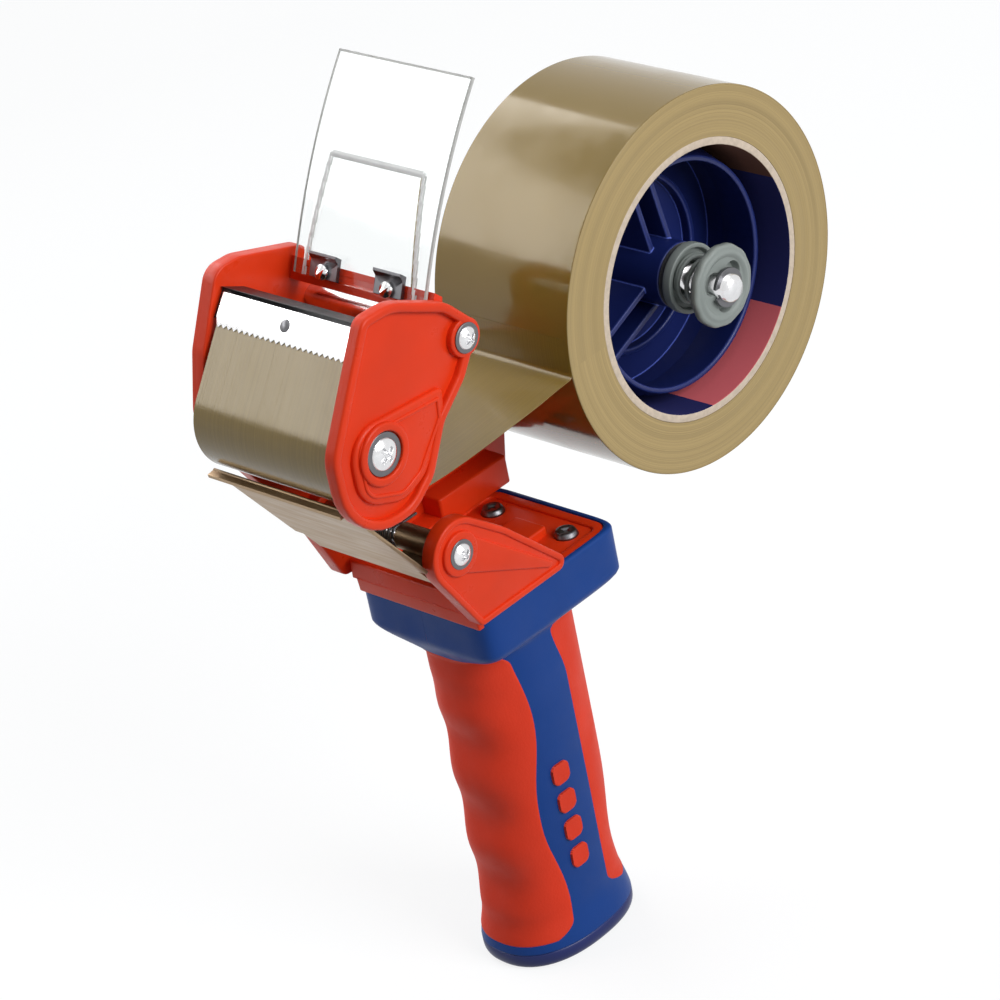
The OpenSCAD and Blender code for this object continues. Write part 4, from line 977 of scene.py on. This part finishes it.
def make_hub():
    """Reel hub: drum with a tapered lead-in, web, boss and three box spokes of two ribs each."""
    m = Moulding()
    for corners in HUB_RINGS:
        m.turned(HUB, corners, 192)
    m.turned(HUB, ((5.1, -25.85, 0.2), (9.5, -25.85, 0.5), (9.5, 16.95, 0.5), (5.1, 16.95, 0.2)))
    for turn in SPOKES:
        for middle in (-SPOKE_HALF, SPOKE_HALF):
            ring = [(7.5, -5, 0.2), (36, -5, 0.2), (36, 7, 0.5), (7.5, 12, 0.5)]
            m.slab(ring, middle - RIB_HALF, middle + RIB_HALF, 0.5, "z")
            out, y, off = m.points[-1].T
            m.points[-1] = np.stack([HUB[0] + out * np.cos(turn) - off * np.sin(turn), y,
                                     HUB[1] + out * np.sin(turn) + off * np.cos(turn)], -1)
    stand_for(m.piece("reel_hub_look", finish["navy_plastic"], 40), "tape_spool", "reel_hub")


def make_washer():
    """Pressed washer of the brake: a flat ring with a turned-up rim."""
    m = Moulding()
    m.turned(HUB, ((5.06, 18.9, 0.1), (10.1, 18.9, 0.5), (10.1, 21.9, 0.4), (8.8, 21.9, 0.4), (8.6, 20.4, 0.5),
                   (5.06, 20.4, 0.1)))
    stand_for(m.piece("pressure_washer_look", finish["grey_metal"]), "frame", "pressure_washer")


def make_knob():
    """Brake knob: a polar height field for the dished face with three finger pockets, a shallow-fluted rim."""
    low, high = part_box("brake_knob")
    y0, y1 = low[1] / MM, high[1] / MM
    bore, shoulder, bevel = 4.15, 10.9, 1.0
    outer = shoulder + bevel
    angle = np.linspace(0, TAU, 288, endpoint=False)
    r = np.concatenate([np.linspace(bore, shoulder, 70), shoulder + bevel * np.sin(QUARTER[1:])])
    rr, aa = np.meshgrid(r, angle, indexing="ij")
    flutes = 0.11 * (np.cos(12 * angle) - 1)
    drop = bevel * (1 - np.sqrt(np.clip(1 - (np.maximum(rr - shoulder, 0) / bevel) ** 2, 0, 1)))
    pocket = np.zeros_like(rr)
    for turn in np.radians([30, 150, 270]):
        near = np.hypot(rr * np.cos(aa) - 4.6 * np.cos(turn), rr * np.sin(aa) - 4.6 * np.sin(turn))
        pocket = np.maximum(pocket, ease((3.1 - near) / 0.7 + 0.5))
    ring = 0.35 * np.exp(-((rr - 9.4) / 0.7) ** 2)
    y = y1 - 0.36 - drop - 2.4 * pocket + ring - 0.25 * ease((8.8 - rr) / 0.8)
    face = round_axis(HUB, rr + flutes * ease((rr - 10.2) / 1.4), aa, y)
    under = [round_axis(HUB, radius + (flutes if radius > shoulder else 0), angle, y0 + height)
             for radius, height in ((outer, 1.6), (outer - 0.3, 1.15), (10.0, 1.0), (10.0, 0.05), (bore, 0.05))]
    m = Moulding()
    m.shell(np.concatenate([face, np.stack(under)]), wrap_u=True)
    stand_for(m.piece("brake_knob_look", finish["grey_metal"], 45), "brake_knob", "brake_knob")


def make_brake_spring():
    """Compression spring on the spindle with closed end turns."""
    turns, radius, wire = 4.0, 6.65, 0.65
    low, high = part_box("brake_spring")
    y0, y1 = low[1] / MM + wire, high[1] / MM - wire
    a = np.linspace(0, TAU * turns, 240)
    y = y0 + (y1 - y0) * ease((a - np.pi) / (TAU * turns - TAU))
    spring = tube("brake spring", round_axis(HUB, radius, a, y), wire, finish["grey_metal"])
    stand_for(spring, "frame", "brake_spring")


# ---- flap and blade -----------------------------------------------------------------------------

FLAP_BEND, FLAP_LENGTH, FLAP_THICK = 200, 52, 1.2
FLAP_HALF = 24.5                      # half its width
LINE_TOP, BAR_HALF, LINE_RAISED = 33.0, 16.8, 0.32
TEETH = 51                            # tips and roots along the blade


def make_flap():
    """Clear sheet: a flat foot in the clamp, then one backward curve, with two raised lines that narrow upward."""
    foot = FLAP_FOOT + FLAP_IN * np.linspace(0.3, 8.4, 12)[:, None]
    bend_c = FLAP_FOOT + FLAP_IN * 8.5 + FLAP_BACK * FLAP_BEND
    start = np.arctan2(-FLAP_BACK[1], -FLAP_BACK[0])
    curve = bend_c + FLAP_BEND * heading(start + np.linspace(0, FLAP_LENGTH / FLAP_BEND, 90))
    path = np.vstack([foot, curve])
    back, run = follow(path)
    y = np.linspace(-FLAP_HALF, FLAP_HALF, 121)
    # two raised lines from the clamp up and inward, joined by a bar across
    line_y = 20.5 - 3.5 * np.clip(run / LINE_TOP, 0, 1)
    rib = np.exp(-((np.abs(y)[None, :] - line_y[:, None]) / 0.55) ** 2) * (1 - ease((run - LINE_TOP) / 0.8))[:, None]
    bar = np.exp(-((run - LINE_TOP) / 0.55) ** 2)[:, None] * (1 - ease((np.abs(y) - BAR_HALF) / 0.6))[None, :]
    raised = LINE_RAISED * np.maximum(rib, bar)
    round_edge = 0.25 * (1 - np.sqrt(1 - np.clip((np.abs(y) - 24.1) / 0.4, 0, 1) ** 2))
    points = thin_sheet(path, back, y, round_edge - raised, FLAP_THICK - round_edge)
    flap = solid("clear flap", points, finish["clear_plastic"], wrap_v=True, crease=35)
    middle = face_centres(flap)
    at = np.hypot(middle[:, 0, None] - path[:, 0], middle[:, 2, None] - path[:, 1]).argmin(1)
    height, across = run[at], np.abs(middle[:, 1])
    on_rib = (np.abs(across - line_y[at]) < 0.45) & (height < LINE_TOP)
    on_bar = (np.abs(height - LINE_TOP) < 0.45) & (across < BAR_HALF)
    cut = (across > FLAP_HALF - 0.3) | (height > run[-1] - 0.02)
    # the raised lines get the light grey painted highlight, and the cut edges get the matt grey edge finish
    more_finishes(flap, np.where(cut, 1, np.where(on_rib | on_bar, 2, 0)), EDGE, LINE)
    stand_for(flap, None, "flap", "flap_foot")
    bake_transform(flap)


def make_blade():
    """Saw-tooth blade: teeth along its lower edge, ground back at a slant, a thin chamfer along the top."""
    y = np.linspace(-HALF_W, HALF_W, TEETH)
    tip = np.where(np.arange(TEETH) % 2 == 0, -0.65, -1.6)
    points = []
    for up, out in ((tip, 0.0), (tip, 0.12), (1.2, 0.8), (7.65, 0.8), (7.8, 0.65), (7.8, 0.0)):
        place = BLADE_EDGE + np.broadcast_to(up, TEETH)[:, None] * BLADE_UP + out * BLADE_OUT
        points.append(np.stack([place[:, 0], y, place[:, 1]], -1))
    blade = solid("blade look", np.stack(points, 1), finish["blade_steel"], wrap_v=True, crease=20)
    stand_for(blade, "frame", "blade")


# ---- the whole scene ----------------------------------------------------------------------------

bpy.context.scene.view_settings.view_transform = "Standard"
place_camera()
light_the_studio()
lay_floor()

make_core()
make_inlay("front grip", 7.0, INLAY_HIGH, 0.0, front_half, 0.18, "front_grip")
make_inlay("rear grip", REAR_LOW, INLAY_HIGH, np.pi, rear_half, 0.10, "rear_grip")
make_foot()
make_near_plate()
make_frame()
make_screws("axle_screws", AXLE, 6.0, ((OUTER_Y - 0.1, 1), (-OUTER_Y - 1.2, -1)))
make_screws("tie_screws", TIE, 4.2, ((OUTER_Y + 0.2, 1), (-OUTER_Y - 1.5, -1)))
make_screws("lug_screws", LUG, 4.2, ((27.2, 1), (-OUTER_Y - 0.1, -1)))
make_roll()
make_web()
make_cardboard()
make_hub()
make_washer()
make_knob()
make_flap()
make_brake_spring()
make_blade()

slot_of = {row["node"]: row["material_slot"] for row in frame["record"]["subparts"]}
body_of = {node: body for body, members in frame["record"]["behaviour"]["bodies"].items() for node in members}
slot_of["deck_screws"] = "spring_steel"
for node in sorted(set(nodes) - replaced):
    stand_for(dress(node, finish[slot_of[node]]), body_of[node], node)
